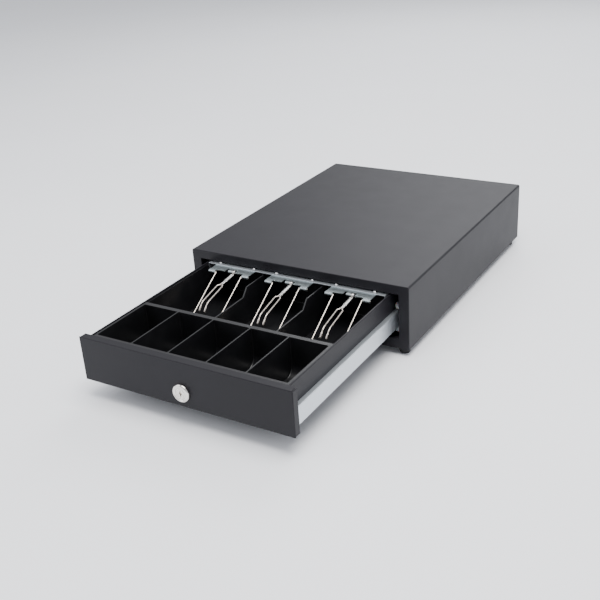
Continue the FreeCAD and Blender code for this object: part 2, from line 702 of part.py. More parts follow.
def rail_bracket_right(y):
    """A hat-shaped stand-off between the case's side and its rail."""
    top, bottom = RAIL_MIDDLE + STAND_OFF_TALL, RAIL_MIDDLE - STAND_OFF_TALL
    front, rear = y - STAND_OFF_HALF, y + STAND_OFF_HALF
    inner = TRACK_WEB + SHEET
    return fuse([
        box(inner, inner + SHEET, front, rear, bottom, top),
        box(inner, INSIDE, front, front + SHEET, bottom, top),
        box(inner, INSIDE, rear - SHEET, rear, bottom, top),
        box(INSIDE - SHEET, INSIDE, front - STAND_OFF_FOOT, front + SHEET, bottom, top),
        box(INSIDE - SHEET, INSIDE, rear - SHEET, rear + STAND_OFF_FOOT, bottom, top),
    ])


def rail_brackets():
    places = (CASE_RAIL_FRONT + BRACKET_FROM_RAIL_END, CASE_RAIL_REAR - BRACKET_FROM_RAIL_END)
    right = [rail_bracket_right(y) for y in places]
    return group(right + [mirrored(s) for s in right])


def mouth_axle_right(z):
    inner = MOUTH_ROLLER_IN - AXLE_HEAD - ROLLER_SIDE_GAP
    collar_start = MOUTH_ROLLER_OUT + AXLE_COLLAR_GAP
    return fuse([
        rod_x(AXLE_R, inner, TRACK_WEB + SHEET + CUT, ROLLER_Y, z),
        rod_x(AXLE_R + AXLE_HEAD, inner, inner + AXLE_HEAD, ROLLER_Y, z),
        rod_x(AXLE_R + AXLE_COLLAR, collar_start, TRACK_WEB, ROLLER_Y, z),
    ])


def mouth_axles():
    right = [mouth_axle_right(z) for z in (SUPPORT_Z, GUIDE_Z)]
    return group(right + [mirrored(s) for s in right])


def mouth_roller_right(z):
    roller = tube_x(ROLLER_R, AXLE_R + RUNNING, MOUTH_ROLLER_IN, MOUTH_ROLLER_OUT, ROLLER_Y, z)
    groove = tube_x(ROLLER_R + CUT, ROLLER_R - ROLLER_GROOVE_DEPTH, MOUTH_ROLLER_IN + ROLLER_GROOVE_IN,
                    MOUTH_ROLLER_IN + ROLLER_GROOVE_OUT, ROLLER_Y, z)
    return roller.cut(groove)


def drawer_rail_right():
    pieces = [
        box(RAIL_OUT - SHEET, RAIL_OUT, RAIL_FRONT, RAIL_REAR, RAIL_BOTTOM, RAIL_TOP),
        box(PAN_HALF, RAIL_OUT, RAIL_FRONT, RAIL_REAR, RAIL_TOP - SHEET, RAIL_TOP),
        box(PAN_HALF + RAIL_LIP_GAP, RAIL_OUT, RAIL_FRONT, RAIL_REAR, RAIL_BOTTOM, RAIL_BOTTOM + SHEET),
    ]
    for share in RAIL_STUD_SHARES:
        y = RAIL_FRONT + (RAIL_REAR - RAIL_FRONT) * share
        pieces.append(rod_x(RAIL_STUD_R, PAN_HALF, RAIL_OUT - SHEET, y, RAIL_MIDDLE))
    rail = fuse(pieces)
    rail = rounded_edges(rail, SHEET, lambda p, d: abs(d.y) > 0.9 and abs(p.x - RAIL_OUT) < 0.01)
    return rail.cut(rod_x(AXLE_R, RAIL_OUT - SHEET - CUT, RAIL_OUT + CUT, TAIL_Y, RAIL_MIDDLE))


def tail_axle_right():
    inner = RAIL_OUT - SHEET - AXLE_RIVET
    outer = TAIL_ROLLER_OUT + ROLLER_SIDE_GAP
    return fuse([
        rod_x(AXLE_R, inner, outer, TAIL_Y, RAIL_MIDDLE),
        rod_x(AXLE_R + AXLE_RIVET_OUT, inner, RAIL_OUT - SHEET, TAIL_Y, RAIL_MIDDLE),
        rod_x(AXLE_R + AXLE_COLLAR, RAIL_OUT, TAIL_ROLLER_IN - 2 * ROLLER_SIDE_GAP, TAIL_Y, RAIL_MIDDLE),
        rod_x(AXLE_R + AXLE_HEAD, outer, outer + AXLE_END, TAIL_Y, RAIL_MIDDLE),
    ])


def tail_axles():
    right = tail_axle_right()
    return group([right, mirrored(right)])


def tail_roller_right():
    roller = tube_x(TAIL_ROLLER_R, AXLE_R + RUNNING, TAIL_ROLLER_IN, TAIL_ROLLER_OUT, TAIL_Y, RAIL_MIDDLE)
    dish = tube_x(TAIL_ROLLER_R - TAIL_ROLLER_RIM, AXLE_R + TAIL_ROLLER_RIM,
                  TAIL_ROLLER_OUT - TAIL_ROLLER_DISH, TAIL_ROLLER_OUT + CUT, TAIL_Y, RAIL_MIDDLE)
    return roller.cut(dish)


# ---- drawer ----

def drawer_pan():
    t = PAN_SHEET
    pieces = [
        box(-PAN_HALF, PAN_HALF, PAN_FRONT, PAN_REAR, PAN_BOTTOM, PAN_FLOOR),
        box(-PAN_HALF, PAN_HALF, PAN_FRONT, PAN_FRONT + t, PAN_BOTTOM, PAN_TOP),
        box(-PAN_HALF, PAN_HALF, PAN_REAR - t, PAN_REAR, PAN_BOTTOM, PAN_BOTTOM + PAN_REAR_HEIGHT),
    ]
    for x0, x1 in both_sides(PAN_HALF - t, PAN_HALF):
        pieces.append(box(x0, x1, PAN_FRONT, PAN_REAR, PAN_BOTTOM, PAN_TOP))
    for x0, x1 in both_sides(PAN_HALF - PAN_HEM, PAN_HALF):
        pieces.append(box(x0, x1, PAN_FRONT, PAN_REAR, PAN_TOP - PAN_HEM_HEIGHT, PAN_TOP))
    pan = fuse(pieces)
    pan = rounded_edges(
        pan, PAN_HEM_R,
        lambda p, d: abs(d.y) > 0.9 and p.z > PAN_TOP - 0.01 and abs(p.x) > PAN_HALF - 0.01)
    return pan.cut(rod_y(LOCK_PLUG_R + LOCK_PAN_GAP, PAN_FRONT - CUT, PAN_FRONT + t + CUT, 0, LOCK_Z))


def fascia():
    """The drawer's front: a sheet with its four edges folded back, pierced for the lock."""
    t = SHEET
    fold_half = FASCIA_HALF - FASCIA_NOTCH
    pieces = [
        box(-FASCIA_HALF, FASCIA_HALF, FASCIA_FRONT, FASCIA_FRONT + t, FASCIA_BOTTOM, FASCIA_TOP),
        box(-fold_half, fold_half, FASCIA_FRONT, FASCIA_BACK, FASCIA_TOP - t, FASCIA_TOP),
        box(-fold_half, fold_half, FASCIA_FRONT, FASCIA_BACK, FASCIA_BOTTOM, FASCIA_BOTTOM + t),
    ]
    for x0, x1 in both_sides(FASCIA_HALF - t, FASCIA_HALF):
        pieces.append(box(x0, x1, FASCIA_FRONT, FASCIA_BACK - FASCIA_END_SHORT, FASCIA_BOTTOM + FASCIA_NOTCH,
                          FASCIA_TOP - FASCIA_NOTCH))
    panel = fuse(pieces)
    panel = rounded_edges(panel, FRONT_EDGE_R, lambda p, d: p.y < FASCIA_FRONT + 0.01 and abs(d.y) < 0.1)
    panel = panel.cut(rod_y(LOCK_BODY_R, FASCIA_FRONT - CUT, FASCIA_FRONT + t + CUT, 0, LOCK_Z))
    return panel.cut(cam_slot())


def cam_slot():
    """The opening in the fascia's lower fold that the lock's tongue swings through."""
    fold_depth = LOCK_Z - FASCIA_BOTTOM - SHEET
    swing = math.hypot(CAM_REACH, CAM_WIDTH / 2)
    left = -math.sqrt(swing ** 2 - fold_depth ** 2) - CAM_GAP
    right = CAM_WIDTH / 2 + CAM_GAP
    front = FASCIA_FRONT + LOCK_BODY_DEPTH
    return box(left, right, front - CAM_GAP, front + CAM_THICK + CAM_GAP, FASCIA_BOTTOM - CUT,
               FASCIA_BOTTOM + SHEET + CUT)


def striker():
    """Two ears and a cross bar behind the pan, which the latch hook catches."""
    t = STRIKER_SHEET
    bar_y = PAN_REAR + STRIKER_REACH
    foot_half = STRIKER_HALF + t + STRIKER_FOOT
    pieces = [
        box(-foot_half, foot_half, PAN_REAR, PAN_REAR + t,
            STRIKER_Z - STRIKER_TALL / 2, STRIKER_Z + STRIKER_TALL / 2),
        rod_x(STRIKER_R, -STRIKER_HALF - t, STRIKER_HALF + t, bar_y, STRIKER_Z),
    ]
    for x0, x1 in both_sides(STRIKER_HALF, STRIKER_HALF + t):
        pieces.append(box(x0, x1, PAN_REAR, bar_y + STRIKER_EAR_PAST, STRIKER_Z - STRIKER_EAR / 2,
                          STRIKER_Z + STRIKER_EAR / 2))
    return fuse(pieces)


# ---- lock ----

def lock_barrel():
    front = FASCIA_FRONT - LOCK_PROUD
    back = FASCIA_FRONT + LOCK_BODY_DEPTH
    bezel = rod_y(LOCK_BEZEL_R, front, FASCIA_FRONT, 0, LOCK_Z)
    bezel = bezel.makeChamfer(LOCK_BEZEL_EDGE, [e for e in bezel.Edges if e.BoundBox.YMax < front + 0.01])
    barrel = fuse([bezel, rod_y(LOCK_BODY_R, FASCIA_FRONT, back, 0, LOCK_Z)])
    bore = rod_y(LOCK_PLUG_R + RUNNING, front - CUT, back + CUT, 0, LOCK_Z)
    dish = rod_y(LOCK_BEZEL_R - LOCK_DISH_RING, front - CUT, front + LOCK_DISH, 0, LOCK_Z)
    return barrel.cut(bore).cut(dish)


def plug_square(y0, y1):
    half = PLUG_SQUARE / 2
    return box(-half, half, y0, y1, LOCK_Z - half, LOCK_Z + half)


def lock_plug():
    front = FASCIA_FRONT - LOCK_PROUD + PLUG_SUNK
    back = FASCIA_FRONT + LOCK_BODY_DEPTH
    cam_back = back + CAM_THICK
    plug = fuse([
        rod_y(LOCK_PLUG_R, front, back, 0, LOCK_Z),
        plug_square(back, cam_back),
        rod_y(PLUG_CAP_R, cam_back, cam_back + PLUG_CAP, 0, LOCK_Z),
    ])
    keyhole = rod_y(KEYHOLE_R, front - CUT, front + KEY_DEPTH, 0, LOCK_Z)
    slot = box(-KEY_SLOT_WIDTH / 2, KEY_SLOT_WIDTH / 2, front - CUT, front + KEY_DEPTH,
               LOCK_Z - KEY_SLOT_HEIGHT / 2, LOCK_Z + KEY_SLOT_HEIGHT / 2)
    groove = tube_y(PLUG_GROOVE_OUTER, PLUG_GROOVE_INNER, front - CUT, front + PLUG_GROOVE, 0, LOCK_Z)
    return plug.cut(keyhole).cut(slot).cut(groove)


def lock_cam():
    """A tongue that lies sideways when open and drops behind the case's lip when turned."""
    front = FASCIA_FRONT + LOCK_BODY_DEPTH
    back = front + CAM_THICK
    tongue = box(-CAM_REACH, 0, front, back, LOCK_Z - CAM_WIDTH / 2, LOCK_Z + CAM_WIDTH / 2)
    cam = fuse([tongue, rod_y(CAM_HUB_R, front, back, 0, LOCK_Z)])
    cam = rounded_edges(cam, CAM_TIP_R, lambda p, d: abs(d.y) > 0.9 and p.x < -CAM_REACH + 0.01)
    return cam.cut(plug_square(front - CUT, back + CUT))


def lock_nut():
    """A flat nut that clamps the lock to the fascia."""
    start = FASCIA_FRONT + SHEET
    corners = []
    for i in range(6):
        turn = math.radians(60 * i)
        corners.append(Vector(LOCK_NUT_R * math.cos(turn), start, LOCK_Z + LOCK_NUT_R * math.sin(turn)))
    face = Part.Face(Part.makePolygon(corners + corners[:1]))
    nut = face.extrude(Vector(0, LOCK_NUT_THICK, 0))
    return nut.cut(rod_y(LOCK_BODY_R, start - CUT, start + LOCK_NUT_THICK + CUT, 0, LOCK_Z))


# ---- till ----

def till_tray():
    """The tray that lifts out: a room for the coin tray, a partition, and a room for notes."""
    floor = PAN_FLOOR + TILL_FLOOR
    outer = box(-TILL_HALF, TILL_HALF, TILL_FRONT - TILL_WALL, TILL_REAR, PAN_FLOOR, TILL_TOP)
    outer = rounded_edges(outer, TILL_CORNER_R, lambda p, d: abs(d.z) > 0.9)
    coin_room = box(-TILL_INSIDE, TILL_INSIDE, TILL_FRONT, PARTITION_FRONT, floor, TILL_TOP + CUT)
    note_room = box(-TILL_INSIDE, TILL_INSIDE, PARTITION_BACK, TILL_REAR - TILL_WALL, floor, TILL_TOP + CUT)
    note_room = rounded_edges(note_room, TILL_FLOOR_R, lambda p, d: p.z < floor + 0.01)
    return outer.cut(coin_room).cut(note_room)


def cup_places():
    """The middle and half width of each coin cup."""
    pitch = (2 * COIN_HALF - COIN_WALL) / COIN_CUPS
    half = (pitch - COIN_WALL) / 2
    return [((i - (COIN_CUPS - 1) / 2) * pitch, half) for i in range(COIN_CUPS)]


def coin_tray():
    """Five cups with scooped floors, hung in the till by a rim all round and a hook behind."""
    bottom = PAN_FLOOR + TILL_FLOOR
    floor = bottom + COIN_FLOOR
    tray = fuse([
        box(-COIN_HALF, COIN_HALF, CUP_FRONT - COIN_WALL, COIN_BACK, bottom, COIN_TOP),
        box(-TILL_HALF, TILL_HALF, CUP_FRONT - FRONT_RIM, HOOK_BACK, TILL_TOP, COIN_TOP),
        box(-COIN_HALF, COIN_HALF, HOOK_BACK - COIN_WALL, HOOK_BACK, COIN_TOP - HOOK_DROP, COIN_TOP),
    ])
    tray = rounded_edges(tray, COIN_RIM_R, lambda p, d: p.z > COIN_TOP - 0.01 and abs(d.z) < 0.1)
    for middle, half in cup_places():
        cup = box(middle - half, middle + half, CUP_FRONT, CUP_REAR, floor, COIN_TOP + CUT)
        cup = rounded_edges(cup, COIN_SCOOP_R, lambda p, d: p.z < floor + 0.01 and abs(d.x) > 0.9)
        cup = rounded_edges(cup, COIN_CORNER_R, lambda p, d: abs(d.z) > 0.9)
        tray = tray.cut(cup)
    return tray


def note_divider(x):
    """An upright plate between two note bays, lower in front of the clips."""
    half = DIVIDER_SHEET / 2
    front = HOOK_BACK + COIN_GAP
    rear = TILL_REAR - TILL_WALL
    bottom = PAN_FLOOR + TILL_FLOOR
    low, high = PAN_FLOOR + DIVIDER_LOW, PAN_FLOOR + DIVIDER_HIGH
    step_end = DIVIDER_STEP_Y + DIVIDER_STEP_RUN
    outline = [
        (front + DIVIDER_CORNER, bottom),
        (front, bottom + DIVIDER_CORNER),
        (front, low),
        (DIVIDER_STEP_Y, low),
        (step_end, high),
        (rear, high),
        (rear, bottom + DIVIDER_CORNER),
        (rear - DIVIDER_CORNER, bottom),
    ]
    plate = plate_x(outline, x - half, x + half)
    return rounded_edges(
        plate, DIVIDER_STEP_R,
        lambda p, d: abs(d.x) > 0.9 and DIVIDER_STEP_Y - 0.01 < p.y < step_end + 0.01 and p.z > bottom + 0.01)


def note_dividers():
    edges = [(a + b) / 2 for a, b in zip(CLIP_MIDDLES, CLIP_MIDDLES[1:])]
    return group([note_divider(x) for x in edges])


# ---- note clips ----

def rivet_places():
    middle_y = BAR_FRONT + BAR_DEPTH / 2
    return [(m + side * RIVET_SPACING / 2, middle_y) for m in CLIP_MIDDLES for side in (-1, 1)]


def clip_bar():
    """A flat bar across the till, turned down at both ends."""
    rear = BAR_FRONT + BAR_DEPTH
    pieces = [box(-TILL_INSIDE, TILL_INSIDE, BAR_FRONT, rear, BAR_BOTTOM, BAR_TOP)]
    for x0, x1 in both_sides(TILL_INSIDE - BAR_SHEET, TILL_INSIDE):
        pieces.append(box(x0, x1, BAR_FRONT, rear, BAR_BOTTOM - BAR_TAB, BAR_TOP))
    bar = fuse(pieces)
    for x, y in rivet_places():
        bar = bar.cut(rod_z(RIVET_R, BAR_BOTTOM - CUT, BAR_TOP + CUT, x, y))
    return bar


def clip_plate(middle):
    """A plate under the bar, rolled into a knuckle at each front corner and round a tab in the middle."""
    front = HINGE_Y + PLATE_FROM_HINGE
    notch_rear = ARM_HINGE_Y + EYE_R + NOTCH_GAP
    plate = box(middle - PLATE_HALF, middle + PLATE_HALF, front, BAR_FRONT + BAR_DEPTH,
                PLATE_BOTTOM, BAR_BOTTOM)
    plate = plate.cut(box(middle - NOTCH_HALF, middle + NOTCH_HALF, front - CUT, notch_rear,
                          PLATE_BOTTOM - CUT, BAR_BOTTOM + CUT))
    plate = rounded_edges(
        plate, PLATE_CORNER_R,
        lambda p, d: abs(d.z) > 0.9 and p.y < front + 0.01 and abs(p.x - middle) < PLATE_HALF - 0.01)
    pieces = [plate]
    for x0, x1 in both_sides(PLATE_HALF - KNUCKLE_WIDTH, PLATE_HALF):
        knuckle = rod_x(KNUCKLE_R, middle + x0, middle + x1, HINGE_Y, HINGE_Z)
        tongue = box(middle + x0, middle + x1, HINGE_Y, front + CUT, PLATE_BOTTOM, BAR_BOTTOM)
        pieces.append(fuse([knuckle, tongue]))
    tab_right = middle + TAB_RIGHT
    tab_left = tab_right - TAB_WIDTH
    pieces.append(box(tab_left, tab_right, ARM_HINGE_Y, notch_rear + CUT, PLATE_BOTTOM, BAR_BOTTOM))
    pieces.append(rod_x(KNUCKLE_R, tab_left, tab_right, ARM_HINGE_Y, HINGE_Z))
    whole = fuse(pieces)
    whole = whole.cut(rod_x(WIRE_R + RUNNING, middle - PLATE_HALF, middle + PLATE_HALF, HINGE_Y, HINGE_Z))
    whole = whole.cut(rod_x(HINGE_PIN_R, tab_left, tab_right, ARM_HINGE_Y, HINGE_Z))
    for x, y in rivet_places():
        whole = whole.cut(rod_z(RIVET_R, PLATE_BOTTOM - CUT, BAR_BOTTOM + CUT, x, y))
    return whole


def clip_rivets():
    rivets = []
    foot_bottom = PLATE_BOTTOM - RIVET_FOOT
    for x, y in rivet_places():
        head = rod_z(RIVET_HEAD_R, BAR_TOP, BAR_TOP + RIVET_HEAD_HEIGHT, x, y)
        head = head.makeFillet(RIVET_HEAD_EDGE_R, [e for e in head.Edges if e.BoundBox.ZMin > BAR_TOP + 0.5])
        rivets.append(fuse([
            rod_z(RIVET_R, foot_bottom, BAR_TOP, x, y),
            rod_z(RIVET_HEAD_R, foot_bottom, PLATE_BOTTOM, x, y),
            head,
        ]))
    return group(rivets)


def clip_pins():
    """The arms' pins: each is pressed into its tab and headed past the eye."""
    pins = []
    for middle in CLIP_MIDDLES:
        left = middle + TAB_RIGHT - TAB_WIDTH - PIN_PROUD
        head = middle + ARM_OFFSET + SLEEVE_EYE_HALF + EYE_SIDE_GAP
        pins.append(fuse([
            rod_x(HINGE_PIN_R, left, head + PIN_HEAD, ARM_HINGE_Y, HINGE_Z),
            rod_x(PIN_HEAD_R, head, head + PIN_HEAD, ARM_HINGE_Y, HINGE_Z),
        ]))
    return group(pins)


def bail(middle):
    """A U of wire that lies down on the notes. Its ends are turned out and run in the knuckles."""
    slope = math.radians(BAIL_SLOPE)
    down = Vector(0, -math.cos(slope), -math.sin(slope))
    hinge = Vector(0, HINGE_Y, HINGE_Z)
    far = hinge.add(Vector(down).multiply(BAIL_LENGTH))
    end = PLATE_HALF + PIN_PROUD
    path = [
        hinge.add(Vector(middle - end, 0, 0)),
        hinge.add(Vector(middle - BAIL_HALF, 0, 0)),
        far.add(Vector(middle - BAIL_HALF, 0, 0)),
        far.add(Vector(middle + BAIL_HALF, 0, 0)),
        hinge.add(Vector(middle + BAIL_HALF, 0, 0)),
        hinge.add(Vector(middle + end, 0, 0)),
    ]
    return wire_rod(WIRE_R, path, [BAIL_PIVOT_BEND, BAIL_BEND, BAIL_BEND, BAIL_PIVOT_BEND])


def lowered(arm):
    """Turns a level arm piece down about its hinge to the slope at which it rests."""
    arm.rotate(Vector(0, ARM_HINGE_Y, HINGE_Z), Vector(1, 0, 0), ARM_SLOPE)
    return arm


def arm_sleeve(middle):
    """The clip's middle arm: an eye on its pin, a sleeve and a narrower crimp."""
    x = middle + ARM_OFFSET
    rear = ARM_HINGE_Y - EYE_R
    centre_z = HINGE_Z - SLEEVE_DROP
    top = centre_z + SLEEVE_THICK / 2
    eye = tube_x(EYE_R, HINGE_PIN_R + RUNNING, x - SLEEVE_EYE_HALF, x + SLEEVE_EYE_HALF, ARM_HINGE_Y, HINGE_Z)
    neck = box(x - NECK_HALF, x + NECK_HALF, rear - EYE_BITE, ARM_HINGE_Y - NECK_ROOT,
               centre_z - NECK_THICK / 2, centre_z + NECK_THICK / 2)
    sleeve = box(x - SLEEVE_HALF, x + SLEEVE_HALF, SLEEVE_FRONT, rear - SLEEVE_GAP, top - SLEEVE_THICK, top)
    sleeve = rounded_edges(sleeve, SLEEVE_EDGE_R, lambda p, d: abs(d.y) > 0.9)
    groove = box(x - GROOVE_HALF, x + GROOVE_HALF, SLEEVE_FRONT + GROOVE_SHORT, rear - GROOVE_SHORT,
                 top - GROOVE_DEPTH, top + CUT)
    crimp = box(x - CRIMP_HALF, x + CRIMP_HALF, CRIMP_FRONT, SLEEVE_FRONT + CUT,
                centre_z - CRIMP_THICK / 2, centre_z + CRIMP_THICK / 2)
    return lowered(fuse([eye, neck, sleeve.cut(groove), crimp]))


def fork_path(x, side):
    """One prong from the crimp's end to its tip."""
    z = HINGE_Z - SLEEVE_DROP
    runs = [(0, 0, FORK_ROOT)] + list(FORK_RUNS)
    return [Vector(x + side * spread, CRIMP_FRONT - reach, z - drop) for reach, drop, spread in runs]


def fork(middle):
    """Two wire prongs with rounded tips, held in the crimp."""
    x = middle + ARM_OFFSET
    pieces = []
    for side in (-1, 1):
        path = fork_path(x, side)
        end = path[-1]
        along = end.sub(path[-2]).normalize()
        tip_start = end.sub(Vector(along).multiply(TIP_LENGTH))
        pieces.append(wire_rod(WIRE_R, path, [FORK_BEND] * (len(path) - 2)))
        pieces.append(fuse([rod(TIP_R, tip_start, end), Part.makeSphere(TIP_R, end)]))
    z = HINGE_Z - SLEEVE_DROP
    pieces.append(box(x - FORK_ROOT, x + FORK_ROOT, CRIMP_FRONT - BRIDGE_LENGTH, CRIMP_FRONT,
                      z - WIRE_R, z + WIRE_R))
    return lowered(fuse(pieces))


# ---- latch at the back of the case ----

def latch_bracket():
    """An upright cheek each side of the hook and the solenoid, on a foot."""
    outer = BRACKET_HALF + BRACKET_SHEET
    rear = BRACKET_FRONT + BRACKET_LENGTH
    pieces = [box(-outer, outer, BRACKET_FRONT, rear, SHEET, SHEET + BRACKET_SHEET)]
    for x0, x1 in both_sides(BRACKET_HALF, outer):
        pieces.append(box(x0, x1, BRACKET_FRONT, rear, SHEET, BRACKET_HEIGHT))
    bracket = fuse(pieces)
    bracket = rounded_edges(
        bracket, BRACKET_CORNER_R, lambda p, d: abs(d.x) > 0.9 and p.z > BRACKET_HEIGHT - 0.01)
    return bracket.cut(rod_x(HOOK_PIN_R, -outer - CUT, outer + CUT, HOOK_PIVOT_Y, HOOK_PIVOT_Z))


def hook_pin():
    reach = BRACKET_HALF + BRACKET_SHEET + HOOK_PIN_PROUD
    return rod_x(HOOK_PIN_R, -reach, reach, HOOK_PIVOT_Y, HOOK_PIVOT_Z)


def latch_hook():
    """A lever whose nose drops in front of the striker's cross bar."""
    nose_back = STRIKER_CLOSED_Y - STRIKER_R - HOOK_GAP
    nose_front = nose_back - HOOK_NOSE
    top = HOOK_UNDER + HOOK_TALL
    slant = HOOK_TALL / 2
    outline = [
        (nose_back, STRIKER_Z - STRIKER_R + HOOK_GAP),
        (nose_back, HOOK_UNDER),
        (HOOK_PIVOT_Y, HOOK_UNDER),
        (HOOK_PIVOT_Y, top),
        (nose_front + slant, top),
        (nose_front, top - slant),
    ]
    half = HOOK_THICK / 2
    hook = fuse([
        plate_x(outline, -half, half),
        rod_x(HOOK_BOSS_R, -half - HOOK_BOSS, half + HOOK_BOSS, HOOK_PIVOT_Y, HOOK_PIVOT_Z),
        rod_x(LINK_R, -LINK_HALF, LINK_HALF, PLUNGER_Y, HOOK_PIVOT_Z),
    ])
    return hook.cut(rod_x(HOOK_PIN_R + RUNNING, -BRACKET_HALF, BRACKET_HALF, HOOK_PIVOT_Y, HOOK_PIVOT_Z))


def solenoid_frame():
    t = SOLENOID_SHEET
    y0, y1 = PLUNGER_Y - SOLENOID_DEPTH / 2, PLUNGER_Y + SOLENOID_DEPTH / 2
    pieces = [
        box(-BRACKET_HALF, BRACKET_HALF, y0, y1, SOLENOID_BOTTOM, SOLENOID_BOTTOM + t),
        box(-BRACKET_HALF, BRACKET_HALF, y0, y1, SOLENOID_TOP - t, SOLENOID_TOP),
    ]
    for x0, x1 in both_sides(BRACKET_HALF - t, BRACKET_HALF):
        pieces.append(box(x0, x1, y0, y1, SOLENOID_BOTTOM, SOLENOID_TOP))
    bore = rod_z(PLUNGER_R + PLUNGER_FRAME_GAP, SOLENOID_BOTTOM - CUT, SOLENOID_BOTTOM + t + CUT,
                 0, PLUNGER_Y)
    return fuse(pieces).cut(bore)


def solenoid_coil():
    """The taped winding between its two flanges, closed at the top."""
    z0, z1 = SOLENOID_BOTTOM + SOLENOID_SHEET, SOLENOID_TOP - SOLENOID_SHEET
    coil = fuse([
        rod_z(COIL_R, z0 + COIL_FLANGE, z1 - COIL_FLANGE, 0, PLUNGER_Y),
        rod_z(COIL_R + COIL_FLANGE_OUT, z0, z0 + COIL_FLANGE, 0, PLUNGER_Y),
        rod_z(COIL_R + COIL_FLANGE_OUT, z1 - COIL_FLANGE, z1, 0, PLUNGER_Y),
    ])
    return coil.cut(rod_z(PLUNGER_R + PLUNGER_COIL_GAP, z0 - CUT, z1 - COIL_STOP, 0, PLUNGER_Y))


def plunger():
    """A round core with two legs that carry the hook's link pin in oval eyes."""
    z = HOOK_PIVOT_Z
    core_bottom = z + PLUNGER_ABOVE_LINK
    core = rod_z(PLUNGER_R, core_bottom, SOLENOID_TOP - PLUNGER_TOP_ROOM, 0, PLUNGER_Y)
    leg_bottom = z - PLUNGER_LEG_DROP
    round_bar = rod_z(PLUNGER_R, leg_bottom, core_bottom + CUT, 0, PLUNGER_Y)
    legs = []
    for x0, x1 in both_sides(HOOK_THICK / 2 + PLUNGER_LEG_GAP, PLUNGER_LEG_OUT):
        leg = box(x0, x1, PLUNGER_Y - PLUNGER_LEG_HALF, PLUNGER_Y + PLUNGER_LEG_HALF,
                  leg_bottom, core_bottom + CUT)
        legs.append(leg.common(round_bar))
    eye_r = LINK_R + LINK_PLAY_R
    front, rear = PLUNGER_Y - LINK_PLAY_Y, PLUNGER_Y + LINK_PLAY_Y
    eye = fuse([
        rod_x(eye_r, -PLUNGER_R, PLUNGER_R, front, z),
        rod_x(eye_r, -PLUNGER_R, PLUNGER_R, rear, z),
        box(-PLUNGER_R, PLUNGER_R, front, rear, z - eye_r, z + eye_r),
    ])
    return fuse([core] + legs).cut(eye)


def spring_posts():
    posts = []
    start = BACK_INSIDE - SPRING_POST_LENGTH
    for x in (-SPRING_POST_X, SPRING_POST_X):
        post = rod_y(SPRING_POST_R, start, BACK_INSIDE, x, SPRING_Z)
        post = post.makeChamfer(SPRING_POST_TIP, [e for e in post.Edges if e.BoundBox.YMax < start + 0.01])
        seat = rod_y(SPRING_COIL_R + SPRING_SEAT_OUT, BACK_INSIDE - SPRING_SEAT, BACK_INSIDE, x, SPRING_Z)
        posts.append(fuse([post, seat]))
    return group(posts)


def ejector_springs():
    end = BACK_INSIDE - SPRING_SEAT - SPRING_SEAT_GAP
    start = end - SPRING_LENGTH
    return group([
        coil_y(SPRING_COIL_R, SPRING_WIRE_R, start, end, SPRING_TURNS, x, SPRING_Z)
        for x in (-SPRING_POST_X, SPRING_POST_X)
    ])


def micro_switch():
    """A boxed switch on a bent bracket that stands on the base, with ears for its lever."""
    x0, x1 = SWITCH_X - SWITCH_WIDTH / 2, SWITCH_X + SWITCH_WIDTH / 2
    stand_rear = SWITCH_FRONT + SWITCH_STAND_DEPTH
    pieces = [
        box(x0, x1, SWITCH_FRONT, SWITCH_FRONT + SWITCH_DEPTH, SWITCH_BOTTOM, SWITCH_TOP),
        box(x0, x1, SWITCH_FRONT - SWITCH_BUTTON, SWITCH_FRONT, SWITCH_BUTTON_BOTTOM,
            SWITCH_BUTTON_BOTTOM + SWITCH_BUTTON_TALL),
        box(x1, x1 + SHEET, SWITCH_FRONT, stand_rear, SHEET, SWITCH_TOP),
        box(x1 - SWITCH_STAND_FOOT, x1 + SHEET, SWITCH_FRONT, stand_rear, SHEET, 2 * SHEET),
    ]
    for ear in (x0, x1 - LEVER_EAR):
        pieces.append(box(ear, ear + LEVER_EAR, SWITCH_FRONT - LEVER_EAR_REACH, SWITCH_FRONT, SWITCH_BOTTOM,
                          SWITCH_BOTTOM + LEVER_EAR_TALL))
    bore = rod_x(LEVER_PIN_R + RUNNING, x0 - CUT, x1 + SHEET + CUT, LEVER_PIN_Y, LEVER_PIN_Z)
    return fuse(pieces).cut(bore)


def switch_lever():
    """A sprung blade whose curled end the closing pan presses back."""
    x0, x1 = SWITCH_X - LEVER_WIDTH / 2, SWITCH_X + LEVER_WIDTH / 2
    y, z = LEVER_PIN_Y, LEVER_PIN_Z
    root = LEVER_HUB_R - 2 * LEVER_ROOT
    curl_y = CLOSED_REAR + SWITCH_GAP + LEVER_CURL_R
    elbow_y = y - LEVER_ELBOW_OUT
    slant = LEVER_SHEET - LEVER_ROOT
    blade = plate_x([
        (y - root, z),
        (y - root, z + LEVER_RISE),
        (elbow_y, LEVER_ELBOW_Z),
        (curl_y, LEVER_TIP_Z),
        (curl_y + LEVER_SHEET, LEVER_TIP_Z + slant),
        (elbow_y + LEVER_SHEET, LEVER_ELBOW_Z + slant),
        (y - 2 * LEVER_ROOT, z + LEVER_RISE),
    ], x0, x1)
    half_pin = SWITCH_WIDTH / 2
    return fuse([
        blade,
        rod_x(LEVER_PIN_R, SWITCH_X - half_pin, SWITCH_X + half_pin, y, z),
        rod_x(LEVER_HUB_R, x0, x1, y, z),
        rod_x(LEVER_CURL_R, x0, x1, curl_y, LEVER_TIP_Z + LEVER_RISE),
    ])


# ---- drawer socket ----

def jack_block(front, rear):
    """The socket's outline between two depths."""
    return box(JACK_X - JACK_WIDTH / 2, JACK_X + JACK_WIDTH / 2, front, rear, JACK_Z - JACK_HEIGHT / 2,
               JACK_Z + JACK_HEIGHT / 2)


